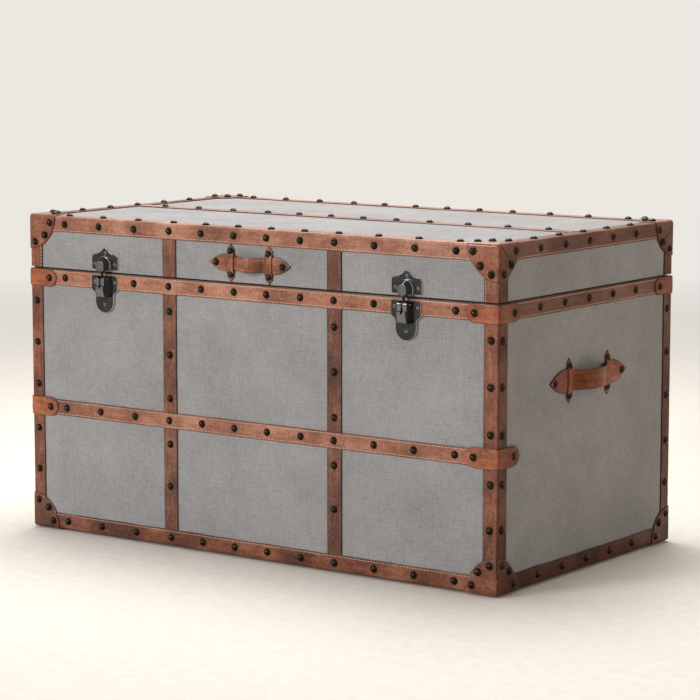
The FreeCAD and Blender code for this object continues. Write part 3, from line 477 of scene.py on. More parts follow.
# %% Cloth recipe
def cloth_material(name, dark, mid, light, thread):
    """Matt cloth: threads lie both ways, fine and low in contrast, over slow drifting patches.

    thread is how fine the threads are, as the scale of their noise.
    """
    material, tree, shader = new_material(name, Roughness=0.88, Specular_IOR_Level=0.25)
    where, long = own_place(tree), thread * 0.1
    weft = noise(tree, stretched(tree, where, long, long, thread), 1.0, 2.0)
    warp = noise(tree, stretched(tree, where, thread, thread, long), 1.0, 2.0)
    patch = noise(tree, where, 9.0, 5.0, Roughness=0.6)
    nap = noise(tree, where, thread * 0.55, 3.0, Roughness=0.7)
    weave = weighted(tree, (weft, 0.25), (warp, 0.25), (nap, 0.5))
    tone = span(tree, weighted(tree, (weave, 0.74), (patch, 0.26)), 0.38, 0.62)
    link_all(tree, shader, Base_Color=three_tones(tree, tone, dark, mid, light))
    bump(tree, shader, weave, 0.3, 0.0005)
    return material


COVER = cloth_material("cover_cloth", (0.200, 0.196, 0.198), (0.272, 0.266, 0.266), (0.345, 0.338, 0.337),
                       620.0)
LINING = cloth_material("lining_cloth", (0.45, 0.39, 0.30), (0.56, 0.49, 0.38), (0.64, 0.57, 0.46), 700.0)
FELT = cloth_material("black_felt", (0.010, 0.010, 0.010), (0.018, 0.017, 0.017), (0.03, 0.03, 0.03), 900.0)
THREAD = cloth_material("stitch_thread", (0.50, 0.28, 0.19), (0.63, 0.385, 0.285), (0.73, 0.49, 0.38), 900.0)
print("cloths:", COVER.name, LINING.name, FELT.name, THREAD.name)

# %% [markdown]
# ## Metal, nylon and board
# Nails and latches are dark metal that hands have rubbed bright in places. The latches are exact solids
# with no marks on their points, so their rubbed edges are found from the surface's own direction: what
# faces the front or back is a plate's flat, and what turns away is its edge. Boards show inside the lid.

# %% Metal recipe
def metal_material(name, dark, mid, light, metallic, rough, scale, coat=0.0, painted_edge=None, reach=None,
                   above=None):
    """Metal or nylon whose tone and gloss drift together.

    The tone goes over to the painted edge tone where the face turns away from front and back, by the limits
    in reach, and below the height above. On the latch plates that tone is a painted highlight; on the lever
    and hook it is painted dark, as a dark reflection on the flanks and as shade at the seam.
    below the height above.
    """
    material, tree, shader = new_material(name, Metallic=metallic, Coat_Weight=coat, Coat_Roughness=0.08)
    colour = use_group(tree, MOTTLE, Scale=scale, Dark=dark, Mid=mid, Light=light)
    tones = colour["Color"]
    if painted_edge:
        normal = node(tree, "ShaderNodeTexCoord").outputs["Normal"]
        front = node(tree, "ShaderNodeSeparateXYZ", [(0, normal)]).outputs["Y"]
        tones = mix_colour(tree, span(tree, arithmetic(tree, "ABSOLUTE", front), *reach), painted_edge, tones)
    if above:
        height = node(tree, "ShaderNodeSeparateXYZ", [(0, own_place(tree))]).outputs["Z"]
        tones = mix_colour(tree, span(tree, height, above, above + 4 * MM), painted_edge, tones)
    shine = span(tree, colour["Value"], 0, 1, rough + 0.06, rough - 0.05)
    link_all(tree, shader, Base_Color=tones, Roughness=shine)
    bump(tree, shader, colour["Value"], 0.05, 0.0004)
    return material


# %% Metals of the trunk
# The first is a painted highlight for the latch plates' edges, the second painted dark for the lever's and
# hook's flanks and the hook below the lid.
PAINTED_EDGE_HIGHLIGHT, PAINTED_DARK = (0.75, 0.74, 0.73), (0.016, 0.016, 0.017)
BRONZE = metal_material("nail_bronze", (0.011, 0.008, 0.006), (0.022, 0.0165, 0.012), (0.042, 0.031, 0.022),
                        1.0, 0.13, 130.0)
BLACK = metal_material("latch_black", (0.022, 0.022, 0.023), (0.034, 0.034, 0.035), (0.052, 0.051, 0.051),
                       1.0, 0.2, 60.0, 0.3, PAINTED_EDGE_HIGHLIGHT, (0.25, 0.92))
# Lever and hook: black metal painted light grey on the front faces, as a painted reflection; painted dark on
# the flanks and, on the hook, below the lid's edge as shade at the seam.
LEVER_BLACK = metal_material("lever_black", (0.13, 0.128, 0.126), (0.17, 0.167, 0.165), (0.21, 0.207, 0.204),
                             1.0, 0.2, 40.0, 0.3, PAINTED_DARK, (0.80, 0.99))
HOOK_BLACK = metal_material("hook_black", (0.10, 0.098, 0.096), (0.14, 0.137, 0.135), (0.19, 0.187, 0.184),
                            1.0, 0.2, 40.0, 0.3, PAINTED_DARK, (0.80, 0.99), LID_LOW)
STEEL = metal_material("plain_steel", (0.14, 0.13, 0.12), (0.22, 0.21, 0.195), (0.31, 0.30, 0.28),
                       1.0, 0.36, 60.0)
GLIDE = metal_material("glide_nylon", (0.02, 0.02, 0.02), (0.035, 0.035, 0.035), (0.05, 0.05, 0.05),
                       0.0, 0.55, 80.0)


def board_material():
    """Plain sawn board: rings stretched along the width."""
    material, tree, shader = new_material("sawn_board", Roughness=0.65)
    grain = noise(tree, stretched(tree, own_place(tree), 2.0, 30.0, 30.0), 4.0, 6.0)
    tones = mix_colour(tree, span(tree, grain, 0.3, 0.7), (0.42, 0.29, 0.17), (0.62, 0.47, 0.30))
    link_all(tree, shader, Base_Color=tones)
    bump(tree, shader, grain, 0.2, 0.0005)
    return material


BOARD = board_material()
print("finishes:", len(bpy.data.materials), "materials")

# %% [markdown]
# ## Finishes for the frame's own nodes
# Boards, hinges, stays and latches keep their exact solids, because their shapes are right as they
# come. They only take a finish: the record says which slot each node has.

# %% Dress the CAD nodes
FINISH = {"board": BOARD, "latch_black": BLACK, "steel": STEEL, "glide": GLIDE, "leather": HIDES["post"],
          "cover_cloth": COVER, "lining_cloth": LINING, "felt": FELT, "nail_bronze": BRONZE}
OWN_FINISH = {"latch_lever": LEVER_BLACK, "latch_hook": HOOK_BLACK}
for entry in frame["record"]["subparts"]:
    materials = frame["nodes"][entry["node"]].data.materials
    own = [finish for word, finish in OWN_FINISH.items() if word in entry["node"]]
    materials.clear()
    materials.append(own[0] if own else FINISH[entry["material_slot"]])

# %% [markdown]
# ## The strap surface
# A strap is a closed skin: a section, carried along a path. The section starts under one edge, climbs
# over a rounded corner, crosses the crowned top and comes down the other side. Along the path the
# edges may narrow to a point and the underside may climb over another strap. Nails pull the leather
# down, so the top dips round each one. A modifier such as Bevel could round a plain box, but it could
# not dent it round the nails.

# %% Strap section
FILL = 3.4 * MM
EDGE_COLUMNS = np.array([1.6, 2.2, 2.8, 3.4, 4.4]) * MM
WAVES = (0.0131, 0.0293, 0.071)


def wobble(s, seed, size):
    """Sum of three sines with odd wave lengths: the slow unevenness of a hand-cut edge."""
    shift = np.random.default_rng(seed).uniform(0, 6.28, 3)
    return size * sum(np.sin(s / length + start) for length, start in zip(WAVES, shift)) / 3


def smooth(share):
    """3 x^2 - 2 x^3: from 0 to 1 with level ends."""
    return share * share * (3 - 2 * share)


def strap_section(full, fill):
    """Columns across a strap: share of the width, inset, drop from the top, and 1 where it is on top.

    Corners are quarter circles in steps of 30 degrees, and the top has columns about fill apart, closer
    near the edges. The last column lies on the back.
    """
    turn = np.radians([0, 30, 60, 90])
    side = np.concatenate([EDGE_COLUMNS, np.arange(6 * MM, full / 2 - 0.3 * fill, fill)]) / full
    flat = np.concatenate([side, [0.5], 1 - side[::-1]])
    share = np.concatenate([np.zeros(5), flat, np.ones(5), [0.5]])
    inset = np.concatenate([[0], 1 - np.cos(turn), 0 * flat, np.cos(turn[::-1]) - 1, [0, 0]])
    drop = np.concatenate([[1], 1 - np.sin(turn), 0 * flat, 1 - np.sin(turn[::-1]), [1, 1]])
    top = np.concatenate([[0], np.ones(len(share) - 3), [0, 0]])
    return share, inset, drop, top


def stations(start, end, spacing=4 * MM):
    """Evenly spaced places between two ends."""
    return np.linspace(start, end, max(int(abs(end - start) / spacing), 2) + 1)


print("columns across a strap:", len(strap_section(STRAP, FILL)[0]))

# %% Strap shell
EDGE, EDGE_SHARE, BACK, INSET = 0.9 * MM, 0.42, 0.2 * MM, 2.8 * MM
DENT, NAIL_DIP, GROOVE, SEAM_DIP = 6.5 * MM, 0.55 * MM, 0.7 * MM, 0.3 * MM
EDGE_MARK, RUN_STEP = 3.2 * MM, 7.3


def dents(s, t, nails):
    """exp(-r^2 / 2w^2), where r is the distance to the nearest nail and w is DENT."""
    near = np.zeros_like(t)
    for nail_s, nail_t in nails:
        away = (s - nail_s) ** 2 + (t - nail_t) ** 2
        near = np.maximum(near, np.exp(-away / (2 * DENT**2)))
    return near


def strap_shell(place, along, base, low, high, thick=LEATHER, nails=(), fill=FILL, seed=1,
                crown=0.25 * MM, sewn="", lit_share=lambda a: 1.0, uneven=0.25 * MM):
    """P(i, k) = path_i + normal_i * h_k at across a_k.

    a runs from low to high with quarter-round corners of radius EDGE; h is the thickness there plus a
    crown c * (1 - (2f - 1)^2), less a dent d * exp(-r^2 / 2w^2) round each nail and less a fine groove
    along each sewn edge ("low", "high" or both). A function of a says how much of the colour is kept at a:
    1 on a front, less on an end face painted darker as shade. The back lies at a = 0 if the strap goes
    round an edge, so that it follows the edge too.
    """
    along, base, low, high = (np.array(v, float) for v in np.broadcast_arrays(along, base, low, high))
    share, inset, drop, top = strap_section(np.max(high - low), fill)
    low = low + wobble(along, seed, uneven)
    high = high + wobble(along, seed + 50, uneven)
    round_edge = np.minimum(EDGE, EDGE_SHARE * (high - low))[:, None]
    a = low[:, None] + share * (high - low)[:, None] + inset * round_edge
    a[:, -1] = np.where((low < 0) & (high > 0), 0, a[:, -1])
    near, seam = dents(along[:, None], a, nails), np.zeros_like(a)
    from_low, from_high = a - low[:, None], high[:, None] - a
    for label, distance in (("low", from_low), ("high", from_high)):
        if label in sewn:
            seam = np.maximum(seam, np.exp(-(((distance - INSET) / GROOVE) ** 2)))
    raised = top * (1 - drop)
    h = top * (thick - drop * round_edge) + raised * crown * (1 - (2 * share - 1) ** 2) - (1 - top) * BACK
    h = h - raised * (NAIL_DIP * near + SEAM_DIP * seam)
    step_s, step_b = np.gradient(along), np.gradient(base)
    length = np.maximum(np.hypot(step_s, step_b), TINY)
    points = place((along - h.T * step_b / length).T, a, (base + h.T * step_s / length).T)
    edge = np.clip(1 - np.minimum(from_low, from_high) / EDGE_MARK, 0, 1)
    marks = np.stack([edge, near, seam, 0 * a + lit_share(a)], -1)
    run = np.stack([0 * a + np.cumsum(length)[:, None], a, 0 * a + RUN_STEP * seed], -1)
    ends = [np.repeat(row.mean(1, keepdims=True), a.shape[1], 1) for row in (points[:1], points[-1:])]
    points = np.concatenate([ends[0], points, ends[1]])
    marks, run = (np.concatenate([grid[:1], grid, grid[-1:]]) for grid in (marks, run))
    return grid_shell(points, marks, run, True)


# %% [markdown]
# ## Where the nails go
# The nails stand in rows: at the uprights, at fifths between them, and at thirds out to the corners.
# One list per face holds every nail as (along, across, height of the leather under it). The straps
# read the list for their dents, and the nail heads are set on it later.

# %% Nail spacing
CAP_RING, CAP_ANGLES = 0.05, np.radians([15, 45, 75])
LAST_NAIL, LAST_END_NAIL = 0.082, 0.126


def both(*values):
    """Each value on both sides of the middle."""
    return [sign * value for value in values for sign in (-1, 1)]


def pairs(along, across, level):
    """Every pairing of two lists of places, at one height."""
    return [(s, t, level) for s in along for t in across]


def cap_nails(half, edge, inward):
    """Three nails on a circle round each corner of a face."""
    return [(side * (half - CAP_RING * math.cos(a)), edge + inward * CAP_RING * math.sin(a), DOUBLE)
            for side in (-1, 1) for a in CAP_ANGLES]


SIDE = (HALF_W - LAST_NAIL - UPRIGHT_X) / 3
BAYS = both(UPRIGHT_X * 0.2, UPRIGHT_X * 0.6)
SIDES = both(UPRIGHT_X + SIDE, UPRIGHT_X + 3 * SIDE)
BESIDE = both(UPRIGHT_X + 2 * SIDE)
ROW = BAYS + both(UPRIGHT_X) + SIDES + BESIDE
ENDS = [0] + both((HALF_D - LAST_END_NAIL) / 2, HALF_D - LAST_END_NAIL)
POST_X, POST_Y = both(HALF_W - STRAP / 2), both(HALF_D - STRAP / 2)
UPPER, LOWER = RIM_LOW - MID_TOP, MID_LOW - FOOT_TOP
POST_Z = [RIM_LOW - share * UPPER for share in (0.145, 0.51, 0.88)]
POST_Z += [MID_LOW - share * LOWER for share in (0.155, 0.57)]
print("nails in a long row:", len(ROW), "and in a short one:", len(ENDS))

# %% Nails of the handles
LID_GRIP = dict(z=0.5095, tip=0.0861, nail=0.0716, keeper=0.041, span=0.032, rise=0.016, tab=0.015,
                hand=0.0123, long=0.032, shoulder=0.024, pin=0.019)
END_GRIP = dict(z=0.328, tip=0.1225, nail=0.108, keeper=0.062, span=0.053, rise=0.022, tab=0.0205,
                hand=0.0168, long=0.0375, shoulder=0.0295, pin=0.0245)


def grip_nails(grip):
    """Nails of one handle: one in each tab and two in each keeper."""
    heights = [grip["z"] - grip["pin"], grip["z"] + grip["pin"]]
    return pairs(both(grip["nail"]), [grip["z"]], GRIP) + pairs(both(grip["keeper"]), heights, LEATHER)


print("nails of a handle:", len(grip_nails(LID_GRIP)))

# %% Nail rows
NAILS = {
    "front": pairs(BAYS + SIDES, [RIM_Z], LEATHER) + pairs(BAYS + SIDES + BESIDE, [MID_Z], LEATHER)
    + pairs(both(UPRIGHT_X), [RIM_Z, MID_Z], DOUBLE) + pairs(ROW, [FOOT_Z], LEATHER)
    + pairs(POST_X + both(UPRIGHT_X), POST_Z, LEATHER)
    + pairs(both(HALF_W - LOOP_NAIL), [LOOP_Z, MID_Z], DOUBLE) + cap_nails(HALF_W, FOOT_LOW, 1),
    "back": pairs(ROW, [RIM_Z, FOOT_Z], LEATHER) + pairs(POST_X, POST_Z, LEATHER)
    + pairs(both(HALF_W - LOOP_NAIL), [LOOP_Z], DOUBLE) + cap_nails(HALF_W, FOOT_LOW, 1),
    "end": pairs(ENDS, [RIM_Z, FOOT_Z], LEATHER) + pairs(POST_Y, POST_Z, LEATHER) + grip_nails(END_GRIP)
    + pairs(both(HALF_D - LOOP_NAIL), [LOOP_Z], DOUBLE) + cap_nails(HALF_D, FOOT_LOW, 1),
    "lid_front": pairs(ROW, [BINDING_Z], LEATHER) + cap_nails(HALF_W, TOP, -1) + grip_nails(LID_GRIP),
    "lid_back": pairs(ROW, [BINDING_Z], LEATHER) + cap_nails(HALF_W, TOP, -1),
    "lid_end": pairs(ENDS, [BINDING_Z], LEATHER) + cap_nails(HALF_D, TOP, -1),
    "lid_top": pairs(ROW, POST_Y + [0], LEATHER) + pairs(POST_X, ENDS, LEATHER)
    + cap_nails(HALF_W, -HALF_D, 1) + cap_nails(HALF_W, HALF_D, -1),
}


def near_row(face, low, high):
    """The (along, across) places of a face's nails that lie between two heights."""
    return [(s, t) for s, t, _ in NAILS[face] if low <= t <= high]


print("nails:", {name: len(rows) for name, rows in NAILS.items()})

# %% [markdown]
# ## Cloth over the boards
# The cover is cloth glued flat to the boards, so it is a thin sheet that follows each face. A grid
# per face is enough; the faint waves, a tenth of a millimetre, stop the light from lying dead flat.

# %% Cloth patches
WAVE = 0.1 * MM
WALLS = {"front": FRONT_CLOTH, "right": END_CLOTH, "back": FRONT_CLOTH, "left": END_CLOTH}


def flat_patch(place, s0, s1, t0, t1, seed, flip=False, height=0.0, rows=40, columns=24):
    """P(s, t) on a plain face, lifted by slow waves that fade out at its edges."""
    s, t = np.meshgrid(np.linspace(s0, s1, rows), np.linspace(t0, t1, columns), indexing="ij")
    fade = np.sin(np.pi * (s - s0) / (s1 - s0)) * np.sin(np.pi * (t - t0) / (t1 - t0))
    lift = height + fade * (wobble(s * 0.35, seed, WAVE) + wobble(t * 0.35, seed + 9, WAVE))
    faces = quads(rows, columns, False)
    points = place(s, t, lift).reshape(-1, 3)
    return points, faces[:, ::-1] if flip else faces, *plain_marks(rows * columns)


def wall_patches(z0, z1, half_x, half_y, inside):
    """The four walls of a box as patches facing out, or in."""
    patches = []
    for seed, (face, level) in enumerate(WALLS.items()):
        half, reach = (half_x, half_y) if face in ("front", "back") else (half_y, half_x)
        patches.append(flat_patch(face_map(face), -half, half, z0, z1, seed, inside, reach - level))
    return patches


def level_patch(face, half_x, half_y, seed, flip=False, height=0.0):
    """A floor or ceiling of a box, as a patch."""
    return flat_patch(face_map(face), -half_x, half_x, -half_y, half_y, seed, flip, height)


# %% Cover and lining
LINED_X, LINED_Y, FLOOR_Z, CEILING_Z = 0.484, 0.264, 0.016, 0.557
outside = wall_patches(FOOT_CLOTH, SEAM, END_CLOTH, FRONT_CLOTH, False)
body_cover = make_piece("body_cover", outside, COVER, "trunk_body", ["body_cloth"], weld=False)
over_lid = wall_patches(LID_LOW, TOP_CLOTH, END_CLOTH, FRONT_CLOTH, False)
over_lid.append(level_patch("top", END_CLOTH, FRONT_CLOTH, 7))
lid_cover = make_piece("lid_cover", over_lid, COVER, "lid", ["lid_cloth"], weld=False)
inside = wall_patches(FLOOR_Z, SEAM, LINED_X, LINED_Y, True)
inside.append(level_patch("rim", LINED_X, LINED_Y, 11, height=FLOOR_Z - SEAM))
body_lining = make_piece("body_lining_cloth", inside, LINING, "trunk_body", ["body_lining"],
                         weld=False)
in_lid = wall_patches(LID_LOW, CEILING_Z, LINED_X, LINED_Y, True)
in_lid.append(level_patch("rim", LINED_X, LINED_Y, 12, flip=True, height=CEILING_Z - SEAM))
lid_lining = make_piece("lid_lining_cloth", in_lid, LINING, "lid", ["lid_lining"], weld=False)

# %% [markdown]
# ## Straps on the flat faces
# The rim band runs round the body just under the lid. On the front it climbs over the two uprights, as
# the band across the middle does. Each strap is one shell along its face. A flat strip would be simpler,
# but it would cut through the uprights that it crosses.

# %% Rim band and middle band
RAMP, BOTH = 5 * MM, "low and high"


def climbing(start, end):
    """Path along the front that is flat except where it climbs smoothly over each upright."""
    along = stations(start, end, 3 * MM)
    base = np.zeros_like(along)
    for centre in both(UPRIGHT_X):
        share = np.clip((UPRIGHT_HALF + RAMP - np.abs(along - centre)) / RAMP, 0, 1)
        base = np.maximum(base, LEATHER * smooth(share))
    return along, base


rim_path = climbing(-HALF_W, HALF_W)
mid_path = climbing(-HALF_W + STRAP, HALF_W - STRAP)
long_path, short_path = (stations(-HALF_W, HALF_W), 0), (stations(-FRONT_CLOTH, FRONT_CLOTH), 0)
rim_shells = []
# The rim band's ends are painted darker, as shade.
for seed, (face, path, rows, lit_level) in enumerate((
    ("front", rim_path, "front", 1.0), ("back", long_path, "back", 1.0),
    ("left", short_path, "end", RIM_END_PAINTED_SHADE), ("right", short_path, "end", RIM_END_PAINTED_SHADE),
), 1):
    spots = near_row(rows, RIM_LOW, SEAM)
    rim_shells.append(strap_shell(face_map(face), *path, RIM_LOW, SEAM, nails=spots, seed=seed, sewn=BOTH,
                                  lit_share=lambda a: lit_level))
leather_piece("rim_band_leather", rim_shells, "rim", "trunk_body", "rim_bands")
mid_nails = near_row("front", MID_LOW, MID_TOP)
mid_shell = strap_shell(face_map("front"), *mid_path, MID_LOW, MID_TOP, nails=mid_nails, seed=5, sewn=BOTH)
leather_piece("mid_band_leather", [mid_shell], "band", "trunk_body", "mid_band")


# %% Uprights and top strap
def upright_shells(z0, z1, rows, seed):
    """Two straps that run up the front, with the nails of rows that lie on them."""
    shells = []
    for x in both(UPRIGHT_X):
        spots = [(t, s) for s, t, _ in rows if abs(s - x) < UPRIGHT_HALF]
        shells.append(strap_shell(turned_map(face_map("front")), stations(z0, z1), 0, x - UPRIGHT_HALF,
                                  x + UPRIGHT_HALF, nails=spots, seed=seed))
    return shells


front_uprights = upright_shells(FOOT_TOP, SEAM, NAILS["front"], 6)
leather_piece("upright_leather", front_uprights, "upright", "trunk_body", "front_uprights")
lid_uprights = upright_shells(LID_LOW, BINDING_LOW, [], 8)
leather_piece("lid_upright_leather", lid_uprights, "upright", "lid", "lid_uprights")
top_path = (stations(-HALF_W + STRAP, HALF_W - STRAP), 0)
top_strap = strap_shell(face_map("top"), *top_path, -STRAP / 2, STRAP / 2, nails=[(s, 0) for s in ROW],
                        seed=9, sewn=BOTH)
leather_piece("lid_top_strap_leather", [top_strap], "post", "lid", "lid_top_strap")

# %% [markdown]
# ## Leather bent round the edges
# Corner posts and bindings are single strips folded over an edge. The same strap shell works: only the
# map changes, so that the way across the strip turns the corner.

# %% Corner posts
BENT_FILL = 1.6 * MM
CORNERS = [(sx, sy) for sx in (-1, 1) for sy in (-1, 1)]


def post_shells(z0, z1, zs, seed, sewn=""):
    """Four corner strips between two heights, with nails down the middle of each leg.

    The leg on the end is painted darker, as shade.
    """
    spots = [(z, side * STRAP / 2) for z in zs for side in (-1, 1)]
    return [strap_shell(turned_map(corner_map(*corner, LEATHER, BEND)), stations(z0, z1), 0, -STRAP, STRAP,
                        nails=spots, fill=BENT_FILL, seed=seed + index, crown=0, sewn=sewn,
                        lit_share=lambda a: np.where(a > 0, POST_END_PAINTED_SHADE, 1.0))
            for index, corner in enumerate(CORNERS)]


body_posts = post_shells(FOOT_TOP, RIM_LOW, POST_Z, 10)
leather_piece("corner_post_leather", body_posts, "post", "trunk_body", "corner_posts")
lid_posts = post_shells(LID_LOW, BINDING_LOW, [], 15, "low")
leather_piece("lid_post_leather", lid_posts, "post", "lid", "lid_posts")

# %% Bindings
UNEVEN = {1: 0.25 * MM, -1: 0.8 * MM}
LONG_FACES, SHORT_FACES = ("front", "back"), ("left", "right")


def binding_shell(face, half, row, edge_z, up, seed, sewn, lit_level):
    """Strip folded over a top or bottom edge of one face: a is the way round that edge.

    Only the lid's strip is nailed on its flat leg, and the foot's has a more uneven edge. The last argument
    says how much colour is kept: less on the ends, painted darker as shade.
    """
    origin, along, _, out = (np.array(v, float) for v in FACES[face])
    edge = edge_map(origin + np.array([0, 0, edge_z]), out, (0, 0, up), along, LEATHER, BEND)
    spots = [(s, side * STRAP / 2) for s in row for side in ((-1, 1) if up > 0 else (-1,))]
    return strap_shell(turned_map(edge), stations(-half, half), 0, -STRAP, STRAP, nails=spots, fill=BENT_FILL,
                       seed=seed, crown=0, sewn=sewn, lit_share=lambda a: lit_level, uneven=UNEVEN[up])


def four_bindings(edge_z, up, seed):
    """Bindings of one edge of the case: long ones through, short ones between."""
    sewn = "low" if up > 0 else ""
    shells = [binding_shell(face, HALF_W, ROW, edge_z, up, seed + i, "low", 1.0)
              for i, face in enumerate(LONG_FACES)]
    return shells + [binding_shell(face, FRONT_CLOTH, ENDS, edge_z, up, seed + 2 + i, sewn, END_PAINTED_SHADE)
                     for i, face in enumerate(SHORT_FACES)]


foot_bindings = four_bindings(FOOT_CLOTH, -1, 20)
leather_piece("foot_binding_leather", foot_bindings, "post", "trunk_body", "foot_bindings")
lid_bindings = four_bindings(TOP_CLOTH, 1, 30)
leather_piece("lid_binding_leather", lid_bindings, "band", "lid", "lid_bindings")

# %% [markdown]
# ## Loops over the corners
# A loop is a short strap that goes round a corner, over the band that ends there, with half-round ends.
# It is a strap shell again, with more stations where the leather bends and where its ends close.

# %% Corner loops
TIP_HALF = 0.6 * MM
LOOP_BEND_STEPS = [0.03, 0.02, 0.014, 0.010, 0.007, 0.005, 0.0035, 0.0025, 0.0015, 0.0007]


def loop_shell(sign_x, sign_y, low, high, seed):
    """Strap round a corner whose half width is sqrt(R^2 - (R - g)^2) at g from its half-round tip."""
    half, middle = (high - low) / 2, (low + high) / 2
    end = LOOP_REACH + LEATHER
    tip = np.array([end]) - half * (1 - np.cos(np.linspace(0, np.pi / 2, 10)))
    side = np.concatenate([tip, LOOP_BEND_STEPS])
    along = np.concatenate([-side, [0.0], side[::-1]])
    gap = np.clip(end - np.abs(along), 0, half)
    reach = np.sqrt(np.maximum(half**2 - (half - gap) ** 2, TIP_HALF**2))
    spots = [(s, middle) for s in both(LOOP_NAIL + LEATHER)]
    bent = corner_map(sign_x, sign_y, DOUBLE, BEND + LEATHER)
    # The leg on the end face is painted darker, as shade.
    return strap_shell(bent, along, LEATHER, middle - reach, middle + reach, nails=spots, seed=seed,
                       crown=0.4 * MM,
                       lit_share=lambda a: np.where(along > 0, WRAPPED_PAINTED_SHADE, 1.0)[:, None])


rim_loops = [loop_shell(*corner, LOOP_LOW, SEAM, 40 + i) for i, corner in enumerate(CORNERS)]
leather_piece("rim_loop_leather", rim_loops, "rim_loop", "trunk_body", "rim_loops")
mid_loops = [loop_shell(sx, -1, MID_LOW - LOOP_LAP, MID_TOP + LOOP_LAP, 45 + sx) for sx in (-1, 1)]
leather_piece("mid_loop_leather", mid_loops, "mid_loop", "trunk_body", "mid_loops")

# %% [markdown]
# ## Caps over the corners
# A cap is one piece of leather pulled over three faces. On each face its outline is a quarter circle, so
# it is a disc of three quarters: a distance from the corner, and an angle that runs over one face after
# another. Three flat quarters joined at the edges would show seams that the real cap doesn't have.

# %% Cap heights
CAP_R = np.concatenate([np.linspace(0, 12, 9)[1:], np.linspace(14, 61, 24), [62, 62.6, 63, 63]]) * MM
CAP_FALL = np.concatenate([np.zeros(32), [0.15, 0.5, 1.1, 2.6]]) * MM
CAP_SINK, CAP_DIP, FOLD_DIP, FOLD_HALF = 1.6 * MM, 0.3 * MM, 0.5 * MM, 2.0 * MM
SINK_FROM, SINK_OVER, FOLD_FROM = 0.024, 0.016, 0.006
FOLD_TURN, FOLD_SLOPE, FOLD_LEAN = 0.03, 0.6, 0.72


def cap_heights(r, x, z, quarter, up):
    """Height over the cloth, with how near a nail and the fold each point is.

    It is two leathers over the straps and sinks smoothly between them; the rim falls by CAP_FALL. On the
    lid it has a dent round each nail and a fold across the end face.
    """
    near = dents(x, z, [(CAP_RING * math.cos(a), CAP_RING * math.sin(a)) for a in CAP_ANGLES])
    past = np.minimum(x, FOLD_TURN) + FOLD_SLOPE * np.maximum(x - FOLD_TURN, 0)
    dart = np.where(quarter == 1, (z - past) * FOLD_LEAN, 1.0)
    fold = np.exp(-((dart / FOLD_HALF) ** 2)) * (up > 0) * (r > FOLD_FROM)
    sink = smooth(np.clip((np.minimum(x, z) - SINK_FROM) / SINK_OVER, 0, 1))
    level = DOUBLE - CAP_SINK * sink - CAP_FALL[:, None] - CAP_DIP * near * (up > 0) - FOLD_DIP * fold
    return level, near, fold


print("a cap reaches", CAP_R[-1], "m from its corner in", len(CAP_R), "rings")

# %% Corner caps
CAP_BEND, CAP_EDGE_MARK, CAP_STREAK, FACE_COLUMNS = BEND + 2.5 * MM, 3.5 * MM, 0.17, 40


def cap_shell(sign_x, sign_y, corner_z, up, seed):
    """P(r, w): r is the distance from the corner, w runs over front, end and flat face in quarter turns.

    On each face the point lies at (r cos, r sin) and at its height. All three coordinates are then
    rounded together to a ball of the bend radius at the corner.
    """
    corner = np.array([sign_x * END_CLOTH, sign_y * FRONT_CLOTH, corner_z])
    outs = np.array([(0, sign_y, 0), (sign_x, 0, 0), (0, 0, up)], float)
    r, w = np.meshgrid(CAP_R, np.linspace(0, 3, 3 * FACE_COLUMNS + 1), indexing="ij")
    quarter = np.minimum(w.astype(int), 2)
    angle = (w - quarter) * np.pi / 2
    x, z = r * np.cos(angle), r * np.sin(angle)
    level, near, fold = cap_heights(r, x, z, quarter, up)
    out = np.zeros(r.shape + (3,))
    for face in range(3):
        first, second = (z, x) if face else (x, z)
        for axis, value in ((face, level), (face + 1, DOUBLE - first), (face + 2, DOUBLE - second)):
            out[..., axis % 3] = np.where(quarter == face, value, out[..., axis % 3])
    inner = np.minimum(out, level[..., None] - CAP_BEND)
    away = out - inner
    away = away / np.maximum(np.linalg.norm(away, axis=-1, keepdims=True), TINY)
    points = corner + (inner + CAP_BEND * away) @ outs
    # The fold joins the edge mark, so it is painted dark as shade in its crease; the end face is painted
    # darker, as shade.
    edge = np.maximum(np.clip(1 - (CAP_REACH - r) / CAP_EDGE_MARK, 0, 1), fold)
    marks = np.stack([edge, near, 0 * r, np.where(quarter == 1, WRAPPED_PAINTED_SHADE, 1.0)], -1)
    run = np.stack([x, CAP_STREAK * z, 0 * r + RUN_STEP * seed + quarter], -1)
    tip = np.repeat(points[:1].mean(1, keepdims=True), r.shape[1], 1)
    points = np.concatenate([tip, points])
    marks, run = (np.concatenate([grid[:1], grid]) for grid in (marks, run))
    return grid_shell(points, marks, run, False)


foot_caps = [cap_shell(*corner, FOOT_CLOTH, -1, 50) for corner in CORNERS]
leather_piece("foot_cap_leather", foot_caps, "post", "trunk_body", "foot_caps")
lid_caps = [cap_shell(*corner, TOP_CLOTH, 1, 55) for corner in CORNERS]
leather_piece("lid_cap_leather", lid_caps, "cap", "lid", "lid_caps")

# %% [markdown]
# ## Strap handles
# Each handle is a thick strap that leaves the face, bows out for the hand and comes back. Its path is
# three arcs that meet smoothly. Keepers, small straps with pointed ends, cross it where the bow starts.

# %% Handles
FOOT_BEND, POINT_HALF, KEEPER_HALF = 8 * MM, 0.8 * MM, 8 * MM


